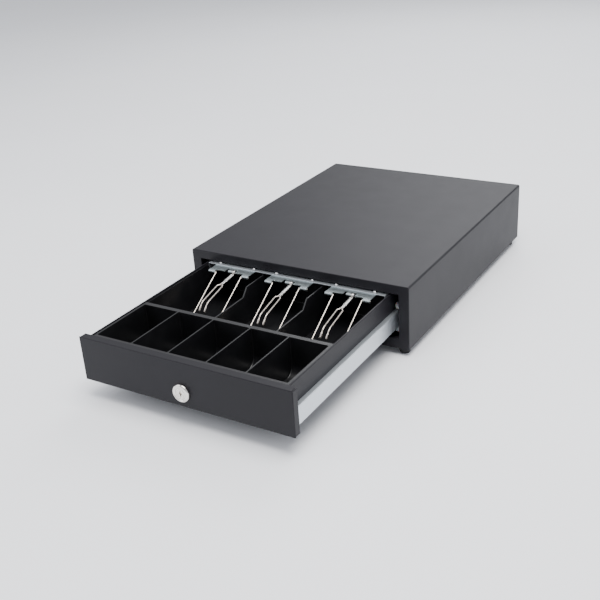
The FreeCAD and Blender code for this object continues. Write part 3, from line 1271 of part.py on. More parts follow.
def jack_socket():
    """A modular socket that looks out through the back panel."""
    room = JACK_WIDTH / 2 - JACK_WALL - JACK_CHEEK
    bottom, top = JACK_Z - JACK_HEIGHT / 2 + JACK_WALL, JACK_Z + JACK_HEIGHT / 2 - JACK_WALL
    mouth = box(JACK_X - room, JACK_X + room, JACK_FRONT + JACK_BACK, CASE_DEPTH + CUT,
                bottom, top - JACK_CLIP_ROOM)
    clip_room = box(JACK_X - JACK_CLIP_HALF, JACK_X + JACK_CLIP_HALF,
                    JACK_FRONT + JACK_CLIP_BACK, CASE_DEPTH + CUT, JACK_Z, top)
    return jack_block(JACK_FRONT, CASE_DEPTH).cut(mouth).cut(clip_room)


def circuit_board():
    """A small board on two legs that carries the socket, with a header and a relay on it."""
    pieces = [
        box(JACK_X - BOARD_HALF, JACK_X + BOARD_HALF, BOARD_FRONT, JACK_FRONT, BOARD_BOTTOM, BOARD_TOP),
        box(JACK_X - BOARD_HALF, JACK_X + BOARD_HALF, JACK_FRONT - BOARD_FOOT, BOARD_FRONT, SHEET, 2 * SHEET),
    ]
    for x0, x1 in both_sides(BOARD_LEG_IN, BOARD_LEG_OUT):
        pieces.append(box(JACK_X + x0, JACK_X + x1, BOARD_FRONT - SHEET, BOARD_FRONT, SHEET, BOARD_LEG_TOP))
    for left, right, depth, bottom, top in (HEADER, RELAY):
        pieces.append(box(JACK_X + left, JACK_X + right, BOARD_FRONT - depth, BOARD_FRONT, bottom, top))
    return fuse(pieces)


# ---- write the files ----

def all_parts():
    parts = {
        "cover": cover(),
        "base_plate": base_plate(),
        "back_panel": back_panel(),
        "case_screws": case_screws(),
        "foot_screws": foot_screws(),
        "rail_brackets": rail_brackets(),
        "mouth_axles": mouth_axles(),
        "tail_axles": tail_axles(),
        "drawer_pan": drawer_pan(),
        "fascia": fascia(),
        "striker": striker(),
        "lock_barrel": lock_barrel(),
        "lock_plug": lock_plug(),
        "lock_cam": lock_cam(),
        "lock_nut": lock_nut(),
        "till_tray": till_tray(),
        "coin_tray": coin_tray(),
        "note_dividers": note_dividers(),
        "clip_bar": clip_bar(),
        "clip_rivets": clip_rivets(),
        "clip_pins": clip_pins(),
        "latch_bracket": latch_bracket(),
        "hook_pin": hook_pin(),
        "latch_hook": latch_hook(),
        "solenoid_frame": solenoid_frame(),
        "solenoid_coil": solenoid_coil(),
        "plunger": plunger(),
        "spring_posts": spring_posts(),
        "ejector_springs": ejector_springs(),
        "micro_switch": micro_switch(),
        "switch_lever": switch_lever(),
        "jack_socket": jack_socket(),
        "circuit_board": circuit_board(),
    }
    corners = ("front_left", "back_left", "front_right", "back_right")
    for corner, (x, y) in zip(corners, foot_places()):
        parts["foot_" + corner] = foot(x, y)
    right_hand = {
        "case_rail": case_rail_right(),
        "drawer_rail": drawer_rail_right(),
        "support_roller": mouth_roller_right(SUPPORT_Z),
        "guide_roller": mouth_roller_right(GUIDE_Z),
        "tail_roller": tail_roller_right(),
    }
    for name, shape in right_hand.items():
        parts[name + "_right"] = shape
        parts[name + "_left"] = mirrored(shape)
    for number, middle in enumerate(CLIP_MIDDLES, 1):
        parts["clip_plate_%d" % number] = clip_plate(middle)
        parts["bail_%d" % number] = bail(middle)
        parts["arm_sleeve_%d" % number] = arm_sleeve(middle)
        parts["fork_%d" % number] = fork(middle)
    return parts


def write_parts():
    os.makedirs("parts", exist_ok=True)
    for name, shape in all_parts().items():
        shape.translate(TO_FRAME)
        if not shape.isValid():
            raise ValueError(name + " is not a valid shape")
        shape.exportStep("parts/" + name + ".step")
        size = shape.BoundBox
        print("%-20s %2d solid(s) %6.1f x %6.1f x %6.1f" % (
            name, len(shape.Solids), size.XLength, size.YLength, size.ZLength))


write_parts()
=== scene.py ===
import json
import math

import bmesh
import bpy
from bpy.props import FloatProperty, FloatVectorProperty, IntProperty, PointerProperty
from mathutils import Matrix, Vector

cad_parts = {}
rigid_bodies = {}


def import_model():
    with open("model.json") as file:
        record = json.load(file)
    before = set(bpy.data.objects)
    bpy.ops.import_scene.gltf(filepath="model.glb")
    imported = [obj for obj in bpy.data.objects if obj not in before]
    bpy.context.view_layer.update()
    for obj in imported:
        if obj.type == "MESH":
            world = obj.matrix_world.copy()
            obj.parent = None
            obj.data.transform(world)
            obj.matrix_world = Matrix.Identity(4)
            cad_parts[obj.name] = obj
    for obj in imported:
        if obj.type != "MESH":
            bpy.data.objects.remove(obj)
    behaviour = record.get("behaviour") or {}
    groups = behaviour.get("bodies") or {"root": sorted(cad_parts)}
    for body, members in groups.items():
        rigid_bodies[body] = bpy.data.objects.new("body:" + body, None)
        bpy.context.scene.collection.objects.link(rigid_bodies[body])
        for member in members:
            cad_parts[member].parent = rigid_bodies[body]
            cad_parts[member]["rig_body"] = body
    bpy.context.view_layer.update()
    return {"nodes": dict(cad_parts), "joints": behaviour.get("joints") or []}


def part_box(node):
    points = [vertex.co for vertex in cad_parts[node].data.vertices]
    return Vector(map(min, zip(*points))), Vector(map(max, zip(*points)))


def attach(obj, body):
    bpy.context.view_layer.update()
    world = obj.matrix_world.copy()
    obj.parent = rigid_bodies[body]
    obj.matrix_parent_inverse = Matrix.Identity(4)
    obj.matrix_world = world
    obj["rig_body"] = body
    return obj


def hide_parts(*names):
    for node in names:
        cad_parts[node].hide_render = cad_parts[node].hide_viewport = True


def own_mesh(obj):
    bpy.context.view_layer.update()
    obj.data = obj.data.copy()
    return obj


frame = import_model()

bl_info = {
    "name": "Cash drawer",
    "version": (1, 0, 0),
    "blender": (4, 5, 0),
    "location": "View3D > Sidebar > Cash drawer",
    "description": "Builds the finished look of a slim steel cash drawer round its fixed frame",
    "category": "Object",
}

MM = 0.001
JOINTS = {joint["name"]: joint for joint in frame["joints"]}
X, Y, Z = Vector((1, 0, 0)), Vector((0, 1, 0)), Vector((0, 0, 1))


# ---- sizes and colours that can be set ----

class CashDrawerSizes(bpy.types.PropertyGroup):
    """Sizes of the details that are added to the frame's pieces."""
    sheet_edge: FloatProperty(
        name="Sheet edge", description="Rounding of the cut edges of the sheet metal",
        default=0.35 * MM, min=0.05 * MM, max=0.6 * MM, unit="LENGTH", precision=5)
    plastic_edge: FloatProperty(
        name="Plastic edge", description="Rounding of the edges of the moulded till",
        default=0.4 * MM, min=0.05 * MM, max=0.7 * MM, unit="LENGTH", precision=5)
    wire_radius: FloatProperty(
        name="Wire radius", description="Radius of the note clips' wires",
        default=0.95 * MM, min=0.6 * MM, max=1.4 * MM, unit="LENGTH", precision=5)
    tip_radius: FloatProperty(
        name="Fork tip radius", description="Radius of the swollen ends of the forks",
        default=1.45 * MM, min=0.9 * MM, max=2.0 * MM, unit="LENGTH", precision=5)
    ejector_turns: IntProperty(
        name="Ejector spring turns", description="Turns of each ejector spring", default=11, min=6, max=16)
    ejector_wire: FloatProperty(
        name="Ejector spring wire", description="Radius of the ejector springs' wire",
        default=0.8 * MM, min=0.5 * MM, max=1.0 * MM, unit="LENGTH", precision=5)
    key_slot: FloatProperty(
        name="Key slot", description="Width of the lock's key slot",
        default=1.5 * MM, min=0.8 * MM, max=2.2 * MM, unit="LENGTH", precision=5)
    round_steps: IntProperty(
        name="Round steps", description="Facets round a turned piece", default=64, min=24, max=128)


class CashDrawerFinish(bpy.types.PropertyGroup):
    """Colours and gloss of the finishes."""
    coat: FloatVectorProperty(
        name="Powder coat", description="Colour of the powder-coated steel",
        subtype="COLOR", size=3, min=0, max=1, default=(0.0125, 0.0120, 0.0150))
    coat_roughness: FloatProperty(
        name="Powder coat roughness", description="Roughness of the powder-coated steel",
        subtype="FACTOR", default=0.46, min=0, max=1)
    plastic: FloatVectorProperty(
        name="Till plastic", description="Colour of the moulded till",
        subtype="COLOR", size=3, min=0, max=1, default=(0.0055, 0.0055, 0.0065))
    zinc: FloatVectorProperty(
        name="Zinc plate", description="Colour of the zinc-plated steel",
        subtype="COLOR", size=3, min=0, max=1, default=(0.66, 0.71, 0.77))
    wire: FloatVectorProperty(
        name="Spring wire", description="Colour of the nickel-plated wire",
        subtype="COLOR", size=3, min=0, max=1, default=(0.60, 0.545, 0.49))
    chrome: FloatVectorProperty(
        name="Lock plate", description="Colour of the lock's plating",
        subtype="COLOR", size=3, min=0, max=1, default=(0.84, 0.81, 0.77))
    floor: FloatVectorProperty(
        name="Floor", description="Colour of the pale floor",
        subtype="COLOR", size=3, min=0, max=1, default=(0.93, 0.94, 0.97))


class CashDrawerView(bpy.types.PropertyGroup):
    """Where the camera stands and how it looks."""
    place: FloatVectorProperty(
        name="Camera place", description="Where the camera stands", subtype="TRANSLATION", size=3,
        unit="LENGTH", default=(0.5960, -1.0161, 0.5773))
    azimuth: FloatProperty(
        name="Azimuth", description="Turn of the view about the upright axis", subtype="ANGLE",
        default=math.radians(32.22))
    elevation: FloatProperty(
        name="Elevation", description="How far the view looks down", subtype="ANGLE",
        default=math.radians(25.51))
    roll: FloatProperty(
        name="Roll", description="Tilt of the camera about its own axis", subtype="ANGLE",
        default=math.radians(-3.78))
    lens: FloatProperty(
        name="Lens", description="Focal length on a sensor 36 mm wide", default=55.37, min=20, max=200)


# ---- materials ----

def node(tree, kind, **inputs):
    """One shader node with its inputs set; an input may be a value or another node's socket."""
    made = tree.nodes.new(kind)
    for name, value in inputs.items():
        socket = made.inputs[name.replace("_", " ")]
        if isinstance(value, bpy.types.NodeSocket):
            tree.links.new(value, socket)
        else:
            socket.default_value = value
    return made


def spread(tree, factor, low, high):
    """A noise value brought into a range."""
    ramp = node(tree, "ShaderNodeMapRange", Value=factor, To_Min=low, To_Max=high)
    ramp.inputs["From Min"].default_value = 0.3
    ramp.inputs["From Max"].default_value = 0.7
    return ramp.outputs["Result"]


def grain(tree, scale, stretch=(1, 1, 1), detail=3.0):
    """A noise that stays with the piece, stretched along X, Y or Z."""
    place = tree.nodes.new("ShaderNodeTexCoord")
    mapping = node(tree, "ShaderNodeMapping", Vector=place.outputs["Object"])
    mapping.inputs["Scale"].default_value = stretch
    noise = node(tree, "ShaderNodeTexNoise", Vector=mapping.outputs["Vector"], Scale=scale, Detail=detail)
    return noise.outputs["Fac"]


def shade(colour, share):
    """A colour made lighter or darker."""
    return tuple(min(1.0, c * share) for c in colour) + (1.0,)


def finish(name, colour, roughness, metallic=0.0, vary=0.15, rough_vary=0.06, patch=35.0, bump=None,
           stretch=(1, 1, 1), coat=0.0, specular=0.5, subsurface=0.0, scratches=0.0):
    """A material whose colour and roughness drift over the surface, with a fine relief.

    bump is a list of (scale, height in metres, stretch) for each layer of relief.
    """
    found = bpy.data.materials.get(name)
    if found:
        return found
    made = bpy.data.materials.new(name)
    made.use_nodes = True
    tree = made.node_tree
    surface = tree.nodes["Principled BSDF"]
    surface.inputs["Metallic"].default_value = metallic
    surface.inputs["Specular IOR Level"].default_value = specular
    surface.inputs["Coat Weight"].default_value = coat
    surface.inputs["Coat Roughness"].default_value = 0.25
    if subsurface:
        surface.inputs["Subsurface Weight"].default_value = subsurface
        surface.inputs["Subsurface Scale"].default_value = 1.5 * MM
    drift = grain(tree, patch, stretch)
    mix = node(tree, "ShaderNodeMix")
    mix.data_type = "RGBA"
    tree.links.new(spread(tree, drift, 0.0, 1.0), mix.inputs[0])
    mix.inputs[6].default_value = shade(colour, 1.0 - vary)
    mix.inputs[7].default_value = shade(colour, 1.0 + vary)
    tree.links.new(mix.outputs[2], surface.inputs["Base Color"])
    gloss = grain(tree, patch * 2.3, stretch, 5.0)
    uneven = spread(tree, gloss, roughness - rough_vary, roughness + rough_vary)
    if scratches:
        scratch = grain(tree, 140.0, (9.0, 0.35, 9.0), 2.0)
        line = node(tree, "ShaderNodeMapRange", Value=scratch, To_Min=0.0, To_Max=scratches)
        line.inputs["From Min"].default_value = 0.62
        line.inputs["From Max"].default_value = 0.70
        total = node(tree, "ShaderNodeMath")
        total.operation = "ADD"
        tree.links.new(uneven, total.inputs[0])
        tree.links.new(line.outputs["Result"], total.inputs[1])
        uneven = total.outputs["Value"]
    tree.links.new(uneven, surface.inputs["Roughness"])
    normal = None
    for scale, height, layer_stretch in bump or []:
        relief = node(tree, "ShaderNodeBump", Height=grain(tree, scale, layer_stretch, 4.0), Distance=height)
        if normal is not None:
            tree.links.new(normal, relief.inputs["Normal"])
        normal = relief.outputs["Normal"]
    if normal is not None:
        tree.links.new(normal, surface.inputs["Normal"])
    return made


def powder_coat(context):
    look = context.scene.cash_drawer_finish
    return finish("powder_coat", tuple(look.coat), look.coat_roughness, vary=0.05, rough_vary=0.012,
                  patch=14.0, specular=0.19,
                  bump=[(1500.0, 0.05 * MM, (1, 1, 1)), (260.0, 0.035 * MM, (1, 1, 1))])


def till_plastic(context):
    look = context.scene.cash_drawer_finish
    return finish("till_plastic", tuple(look.plastic), 0.36, vary=0.25, rough_vary=0.08, patch=22.0,
                  bump=[(2400.0, 0.03 * MM, (1, 1, 1))])


def zinc_plate(context):
    look = context.scene.cash_drawer_finish
    return finish("zinc_plate", tuple(look.zinc), 0.34, metallic=1.0, vary=0.08, rough_vary=0.09, patch=55.0,
                  stretch=(1, 0.12, 1), scratches=0.14,
                  bump=[(900.0, 0.02 * MM, (1, 0.05, 1)), (160.0, 0.02 * MM, (1, 1, 1))])


def grey_zinc(context):
    """The duller zinc of the clips' plates."""
    return finish("grey_zinc", (0.42, 0.47, 0.48), 0.42, metallic=1.0, vary=0.12, rough_vary=0.08,
                  patch=160.0, bump=[(1200.0, 0.02 * MM, (1, 1, 1))])


def bright_steel(context):
    return finish("bright_steel", (0.80, 0.80, 0.80), 0.22, metallic=1.0, vary=0.06, rough_vary=0.08,
                  patch=240.0, bump=[(1800.0, 0.01 * MM, (1, 1, 1))])


def nickel_wire(context):
    look = context.scene.cash_drawer_finish
    return finish("nickel_wire", tuple(look.wire), 0.30, metallic=1.0, vary=0.08, rough_vary=0.06, patch=90.0,
                  bump=[(700.0, 0.004 * MM, (1, 1, 1))])


def arm_steel(context):
    """The arms' sleeves: bright nickel whose tone drifts at random over the surface."""
    return finish("arm_steel", (0.70, 0.68, 0.65), 0.26, metallic=1.0, vary=0.12, rough_vary=0.08,
                  patch=220.0, bump=[(1600.0, 0.01 * MM, (1, 1, 1))])


def lock_plate(context):
    look = context.scene.cash_drawer_finish
    return finish("lock_plate", tuple(look.chrome), 0.14, metallic=1.0, vary=0.05, rough_vary=0.05,
                  patch=150.0, bump=[(700.0, 0.006 * MM, (1, 1, 1))])


def foot_rubber(context):
    return finish("foot_rubber", (0.014, 0.014, 0.015), 0.72, vary=0.2, rough_vary=0.1, patch=120.0,
                  specular=0.35, bump=[(1100.0, 0.06 * MM, (1, 1, 1))])


def roller_nylon(context):
    return finish("roller_nylon", (0.52, 0.54, 0.55), 0.45, vary=0.08, rough_vary=0.08, patch=200.0,
                  subsurface=0.25, bump=[(900.0, 0.02 * MM, (1, 1, 1))])


def black_screw(context):
    return finish("black_screw", (0.02, 0.02, 0.022), 0.34, metallic=0.6, vary=0.2, rough_vary=0.1,
                  patch=300.0, bump=[(1500.0, 0.02 * MM, (1, 1, 1))])


def coil_tape(context):
    return finish("coil_tape", (0.55, 0.36, 0.05), 0.38, vary=0.15, rough_vary=0.1, patch=90.0, coat=0.3,
                  bump=[(500.0, 0.03 * MM, (1, 1, 6))])


def switch_plastic(context):
    return finish("switch_plastic", (0.03, 0.03, 0.033), 0.45, vary=0.2, rough_vary=0.08, patch=150.0,
                  bump=[(1500.0, 0.02 * MM, (1, 1, 1))])


def board_lacquer(context):
    return finish("board_lacquer", (0.02, 0.13, 0.05), 0.3, vary=0.3, rough_vary=0.08, patch=260.0, coat=0.5,
                  bump=[(420.0, 0.03 * MM, (1, 1, 1))])


# ---- meshes ----

def to_object(name, bm, material, smooth_angle=32.0, weighted=True):
    """A new object from a bmesh, shaded smooth but for its sharp edges."""
    mesh = bpy.data.meshes.new(name)
    bm.to_mesh(mesh)
    bm.free()
    mesh.materials.append(material)
    mesh.polygons.foreach_set("use_smooth", [True] * len(mesh.polygons))
    mesh.set_sharp_from_angle(angle=math.radians(smooth_angle))
    made = bpy.data.objects.new(name, mesh)
    bpy.context.scene.collection.objects.link(made)
    if weighted:
        even = made.modifiers.new("even shading", "WEIGHTED_NORMAL")
        even.keep_sharp = True
    return made


def settle(piece, body, slot, *nodes):
    """Joins a finished piece to its body and hides the frame's nodes that it stands for; slot is not used."""
    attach(piece, body)
    if nodes:
        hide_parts(*nodes)
    return piece


def body_of(name):
    return frame["nodes"][name]["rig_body"]


def rounded_copy(context, name, material, slot, edge, shortest=4.0, steps=2):
    """A frame node's own shape with its sharp straight edges rounded off."""
    bm = bmesh.new()
    bm.from_mesh(frame["nodes"][name].data)
    bmesh.ops.remove_doubles(bm, verts=bm.verts, dist=1e-6)
    bmesh.ops.dissolve_limit(bm, angle_limit=math.radians(0.5), verts=bm.verts, edges=bm.edges,
                             delimit={"NORMAL"})
    bm.normal_update()
    sharp = [
        e for e in bm.edges
        if len(e.link_faces) == 2 and e.calc_length() > shortest * edge
        and e.calc_face_angle(0) > math.radians(40)
    ]
    bmesh.ops.bevel(bm, geom=sharp, offset=edge, offset_type="OFFSET", segments=steps, profile=0.5,
                    affect="EDGES", clamp_overlap=True)
    piece = to_object(name + "_finished", bm, material)
    return settle(piece, body_of(name), slot, name)


def paint(names, material):
    """Gives frame nodes whose shape is right their finish."""
    for name in names:
        shown = frame["nodes"][name]
        shown.data.materials.clear()
        shown.data.materials.append(material)


def axes_for(along):
    """Two directions square to a line."""
    side = X if abs(along.dot(X)) < 0.9 else Y
    first = along.cross(side).normalized()
    return first, along.cross(first).normalized()


def add_turned(bm, profile, origin, along, steps):
    """Turns an outline of (radius, distance) about a line. A radius of 0 closes the end."""
    u, v = axes_for(along)
    rings = []
    for radius, distance in profile:
        centre = origin + along * distance
        if radius == 0:
            rings.append([bm.verts.new(centre)])
            continue
        ring = []
        for i in range(steps):
            turn = 2 * math.pi * i / steps
            ring.append(bm.verts.new(centre + (u * math.cos(turn) + v * math.sin(turn)) * radius))
        rings.append(ring)
    for a, b in zip(rings, rings[1:]):
        for i in range(steps):
            j = (i + 1) % steps
            corners = [a[i % len(a)], a[j % len(a)], b[j % len(b)], b[i % len(b)]]
            corners = [c for k, c in enumerate(corners) if c not in corners[:k]]
            if len(corners) > 2:
                bm.faces.new(corners)


def close_loop(profile):
    """An outline that ends where it starts, for a piece with a bore."""
    return profile + profile[:1]


def rounded_corners(points, reaches, steps):
    """A path with each inner corner rounded off from its own distance before and after it."""
    path = [points[0]]
    for before, corner, after, wanted in zip(points, points[1:], points[2:], reaches):
        u, v = (before - corner), (after - corner)
        reach = min(wanted, 0.45 * u.length, 0.45 * v.length)
        first, last = corner + u.normalized() * reach, corner + v.normalized() * reach
        for i in range(steps + 1):
            t = i / steps
            path.append(first * (1 - t) ** 2 + corner * 2 * t * (1 - t) + last * t ** 2)
    path.append(points[-1])
    return path


def add_wire(bm, path, radius, sides):
    """A round wire along a path; radius may be one value or one for each point."""
    radii = radius if isinstance(radius, list) else [radius] * len(path)
    along = (path[1] - path[0]).normalized()
    u, v = axes_for(along)
    rings = []
    for i, point in enumerate(path):
        before, after = path[max(i - 1, 0)], path[min(i + 1, len(path) - 1)]
        direction = (after - before).normalized()
        turn = along.rotation_difference(direction)
        u, v, along = turn @ u, turn @ v, direction
        ring = []
        for k in range(sides):
            angle = 2 * math.pi * k / sides
            ring.append(bm.verts.new(point + (u * math.cos(angle) + v * math.sin(angle)) * radii[i]))
        rings.append(ring)
    for a, b in zip(rings, rings[1:]):
        for k in range(sides):
            j = (k + 1) % sides
            bm.faces.new([a[k], a[j], b[j], b[k]])
    bm.faces.new(list(reversed(rings[0])))
    bm.faces.new(rings[-1])


def helix(origin, along, radius, length, turns, steps=24):
    """Points along a coil of wire that climbs evenly."""
    u, v = axes_for(along)
    count = int(turns * steps)
    path = []
    for i in range(count + 1):
        angle = 2 * math.pi * i / steps
        rise = length * i / count
        path.append(origin + along * rise + (u * math.cos(angle) + v * math.sin(angle)) * radius)
    return path


def close_mesh(bm):
    """The same mesh with its faces turned outwards."""
    bmesh.ops.recalc_face_normals(bm, faces=bm.faces)
    return bm


def span(name):
    """Lowest corner, highest corner and middle of a frame node."""
    low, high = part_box(name)
    return low, high, (low + high) / 2


# ---- the case ----

FOOT_SOLE_SHARE = 0.80
FOOT_BORE = 2.1 * MM
FOOT_RECESS = 3.9 * MM         # radius of the hollow that takes the screw's head


class CASHDRAWER_OT_case(bpy.types.Operator):
    """Build the cover, the base and the back panel"""
    bl_idname = "cash_drawer.case"
    bl_label = "Case"

    def execute(self, context):
        edge = context.scene.cash_drawer_sizes.sheet_edge
        for name in ("cover", "base_plate", "back_panel"):
            rounded_copy(context, name, powder_coat(context), "black_powder_coat", edge)
        return {"FINISHED"}


class CASHDRAWER_OT_feet(bpy.types.Operator):
    """Build the rubber feet and the screws that hold the case together"""
    bl_idname = "cash_drawer.feet"
    bl_label = "Feet and screws"

    def execute(self, context):
        steps = context.scene.cash_drawer_sizes.round_steps
        for corner in ("front_left", "back_left", "front_right", "back_right"):
            name = "foot_" + corner
            low, high, middle = span(name)
            bm = bmesh.new()
            wide = (high.x - low.x) / 2
            tall = high.z - low.z
            floor = Vector((middle.x, middle.y, low.z))
            sole = wide * FOOT_SOLE_SHARE
            bore, recess = FOOT_BORE, FOOT_RECESS
            outline = [
                (bore, tall), (wide, tall), (wide * 0.99, tall * 0.86), (wide * 0.93, tall * 0.80),
                (wide * 0.95, tall * 0.72), (wide * 0.87, tall * 0.22), (sole * 1.03, tall * 0.12),
                (sole * 1.0, tall * 0.05), (sole * 0.95, tall * 0.01), (sole * 0.88, 0), (sole * 0.74, 0),
                (sole * 0.70, tall * 0.05), (recess, tall * 0.05), (recess, tall * 0.55), (bore, tall * 0.55),
            ]
            add_turned(bm, close_loop(outline), floor, Z, steps)
            settle(to_object(name + "_finished", close_mesh(bm), foot_rubber(context), 40.0, False),
                   body_of(name), "rubber", name)
        paint(["foot_screws"], bright_steel(context))
        paint(["case_screws"], black_screw(context))
        return {"FINISHED"}


# ---- the slides ----

ROLLER_BORE = 1.65 * MM
ROLLER_SHOULDER = 0.5 * MM


class CASHDRAWER_OT_slides(bpy.types.Operator):
    """Build the rails, the rollers and their axles"""
    bl_idname = "cash_drawer.slides"
    bl_label = "Slides"

    def execute(self, context):
        sizes = context.scene.cash_drawer_sizes
        zinc = zinc_plate(context)
        for name in ("drawer_rail_left", "drawer_rail_right", "case_rail_left", "case_rail_right",
                     "rail_brackets"):
            rounded_copy(context, name, zinc, "zinc_plate", sizes.sheet_edge)
        for side in ("left", "right"):
            for kind in ("support", "guide", "tail"):
                self.roller(context, f"{kind}_roller_{side}")
        paint(["mouth_axles", "tail_axles"], bright_steel(context))
        return {"FINISHED"}

    def roller(self, context, name):
        """A turned nylon roller with rounded shoulders and a dished face."""
        low, high, middle = span(name)
        bm = bmesh.new()
        wide, outer = high.x - low.x, (high.z - low.z) / 2
        bore, soft = ROLLER_BORE, ROLLER_SHOULDER
        outline = [
            (bore, 0), (outer * 0.55, 0), (outer * 0.62, soft), (outer * 0.85, soft), (outer - soft, 0),
            (outer - 0.3 * soft, 0.3 * soft), (outer, soft), (outer, wide * 0.36),
            (outer - soft, wide * 0.42), (outer - soft, wide * 0.58), (outer, wide * 0.64),
            (outer, wide - soft),
            (outer - 0.3 * soft, wide - 0.3 * soft), (outer - soft, wide), (outer * 0.85, wide - soft),
            (outer * 0.62, wide - soft), (outer * 0.55, wide), (bore, wide),
        ]
        add_turned(bm, close_loop(outline), Vector((low.x, middle.y, middle.z)), X, 40)
        settle(to_object(name + "_finished", close_mesh(bm), roller_nylon(context), 40.0, False),
               body_of(name), "nylon", name)


# ---- the drawer ----

PLUG_RADIUS = 6.98 * MM
BEZEL_BORE = 7.05 * MM
BARREL_RADIUS = 9.0 * MM
TAIL_RADIUS = 4.0 * MM
TAIL_LENGTH = 3.2 * MM
CUT_ABOVE, CUT_BELOW = 1.0 * MM, 4.0 * MM      # the keyway's cutter, from the plug's face


class CASHDRAWER_OT_drawer(bpy.types.Operator):
    """Build the drawer's pan, its front and the striker"""
    bl_idname = "cash_drawer.drawer"
    bl_label = "Drawer"

    def execute(self, context):
        edge = context.scene.cash_drawer_sizes.sheet_edge
        for name in ("drawer_pan", "fascia"):
            rounded_copy(context, name, powder_coat(context), "black_powder_coat", edge)
        rounded_copy(context, "striker", zinc_plate(context), "zinc_plate", edge)
        return {"FINISHED"}


class CASHDRAWER_OT_lock(bpy.types.Operator):
    """Build the key lock: its turned bezel, plug, nut and tongue"""
    bl_idname = "cash_drawer.lock"
    bl_label = "Lock"

    def execute(self, context):
        sizes = context.scene.cash_drawer_sizes
        steps = sizes.round_steps
        low, high, middle = span("lock_barrel")
        front = Vector((middle.x, low.y, middle.z))
        outer = (high.x - low.x) / 2
        bm = bmesh.new()
        outline = [
            (BEZEL_BORE, 0.9 * MM), (7.2 * MM, 0.72 * MM), (8.7 * MM, 0.70 * MM), (8.9 * MM, 0.45 * MM),
            (9.2 * MM, 0.10 * MM), (9.6 * MM, 0), (10.1 * MM, 0.05 * MM), (10.9 * MM, 0.7 * MM),
            (11.35 * MM, 1.5 * MM), (outer, 2.3 * MM), (outer, 3.6 * MM), (outer - 0.3 * MM, 3.95 * MM),
            (BARREL_RADIUS, 4.0 * MM), (BARREL_RADIUS, high.y - low.y), (BEZEL_BORE, high.y - low.y),
        ]
        add_turned(bm, close_loop(outline), front, Y, steps)
        settle(to_object("lock_bezel", close_mesh(bm), lock_plate(context), 35.0, False),
               "drawer", "chrome", "lock_barrel")
        self.plug(context, front)
        rounded_copy(context, "lock_cam", zinc_plate(context), "zinc_plate", 0.25 * MM)
        rounded_copy(context, "lock_nut", zinc_plate(context), "zinc_plate", 0.25 * MM)
        return {"FINISHED"}

    def plug(self, context, front):
        """The turning plug: a ringed face, a keyway, and the tail that carries the tongue."""
        steps = context.scene.cash_drawer_sizes.round_steps
        low, high, middle = span("lock_plug")
        length = high.y - low.y
        face = Vector((middle.x, low.y, middle.z))
        bm = bmesh.new()
        outline = [
            (0, 0), (4.5 * MM, 0), (4.8 * MM, 0.12 * MM), (5.0 * MM, 0.45 * MM), (5.3 * MM, 0.45 * MM),
            (5.5 * MM, 0.12 * MM), (5.8 * MM, 0), (6.6 * MM, 0), (6.85 * MM, 0.1 * MM),
            (PLUG_RADIUS, 0.35 * MM),
            (PLUG_RADIUS, length - TAIL_LENGTH), (TAIL_RADIUS, length - TAIL_LENGTH),
            (TAIL_RADIUS, length - 0.3 * MM),
            (3.7 * MM, length), (0, length),
        ]
        add_turned(bm, outline, face, Y, steps)
        plug = to_object("lock_plug_finished", close_mesh(bm), lock_plate(context), 35.0, False)
        slit = context.scene.cash_drawer_sizes.key_slot / 2
        cutter = bmesh.new()
        key = [(-slit, -3.5), (slit, -3.5), (slit, -1.7), (1.7, -0.9), (2.0, 0.0), (1.7, 0.9), (slit, 1.7),
               (slit, 3.5), (-slit, 3.5), (-slit, 1.7), (-1.7, 0.9), (-2.0, 0.0), (-1.7, -0.9), (-slit, -1.7)]
        points = [(x if abs(x) == slit else x * MM, z * MM) for x, z in key]
        rows = []
        for depth in (-CUT_ABOVE, CUT_BELOW):
            rows.append([cutter.verts.new(face + Vector((x, depth, z))) for x, z in points])
        count = len(points)
        for i in range(count):
            j = (i + 1) % count
            cutter.faces.new([rows[0][i], rows[0][j], rows[1][j], rows[1][i]])
        cutter.faces.new(list(reversed(rows[0])))
        cutter.faces.new(rows[1])
        tool = to_object("key_cutter", close_mesh(cutter), lock_plate(context), 35.0, False)
        cut = plug.modifiers.new("key way", "BOOLEAN")
        cut.object, cut.operation, cut.solver = tool, "DIFFERENCE", "EXACT"
        bake_modifiers(plug)
        bpy.data.objects.remove(tool)
        settle(plug, "lock", "chrome", "lock_plug")


def bake_modifiers(piece):
    """Makes a piece's modifiers part of its mesh."""
    depsgraph = bpy.context.evaluated_depsgraph_get()
    mesh = bpy.data.meshes.new_from_object(piece.evaluated_get(depsgraph))
    piece.modifiers.clear()
    piece.data = mesh
    mesh.set_sharp_from_angle(angle=math.radians(32.0))


# ---- the till ----

class CASHDRAWER_OT_till(bpy.types.Operator):
    """Build the moulded till, its coin tray and the note dividers"""
    bl_idname = "cash_drawer.till"
    bl_label = "Till"

    def execute(self, context):
        edge = context.scene.cash_drawer_sizes.plastic_edge
        for name in ("till_tray", "coin_tray", "note_dividers"):
            rounded_copy(context, name, till_plastic(context), "black_plastic", edge, steps=3)
        return {"FINISHED"}


# ---- the note clips ----

RIVET_SPREAD = 27.3 * MM       # from the plate's middle
RIVET_HEAD = 2.3 * MM
BAIL_HALF = 20.5 * MM          # from the bail's middle line to its side wires

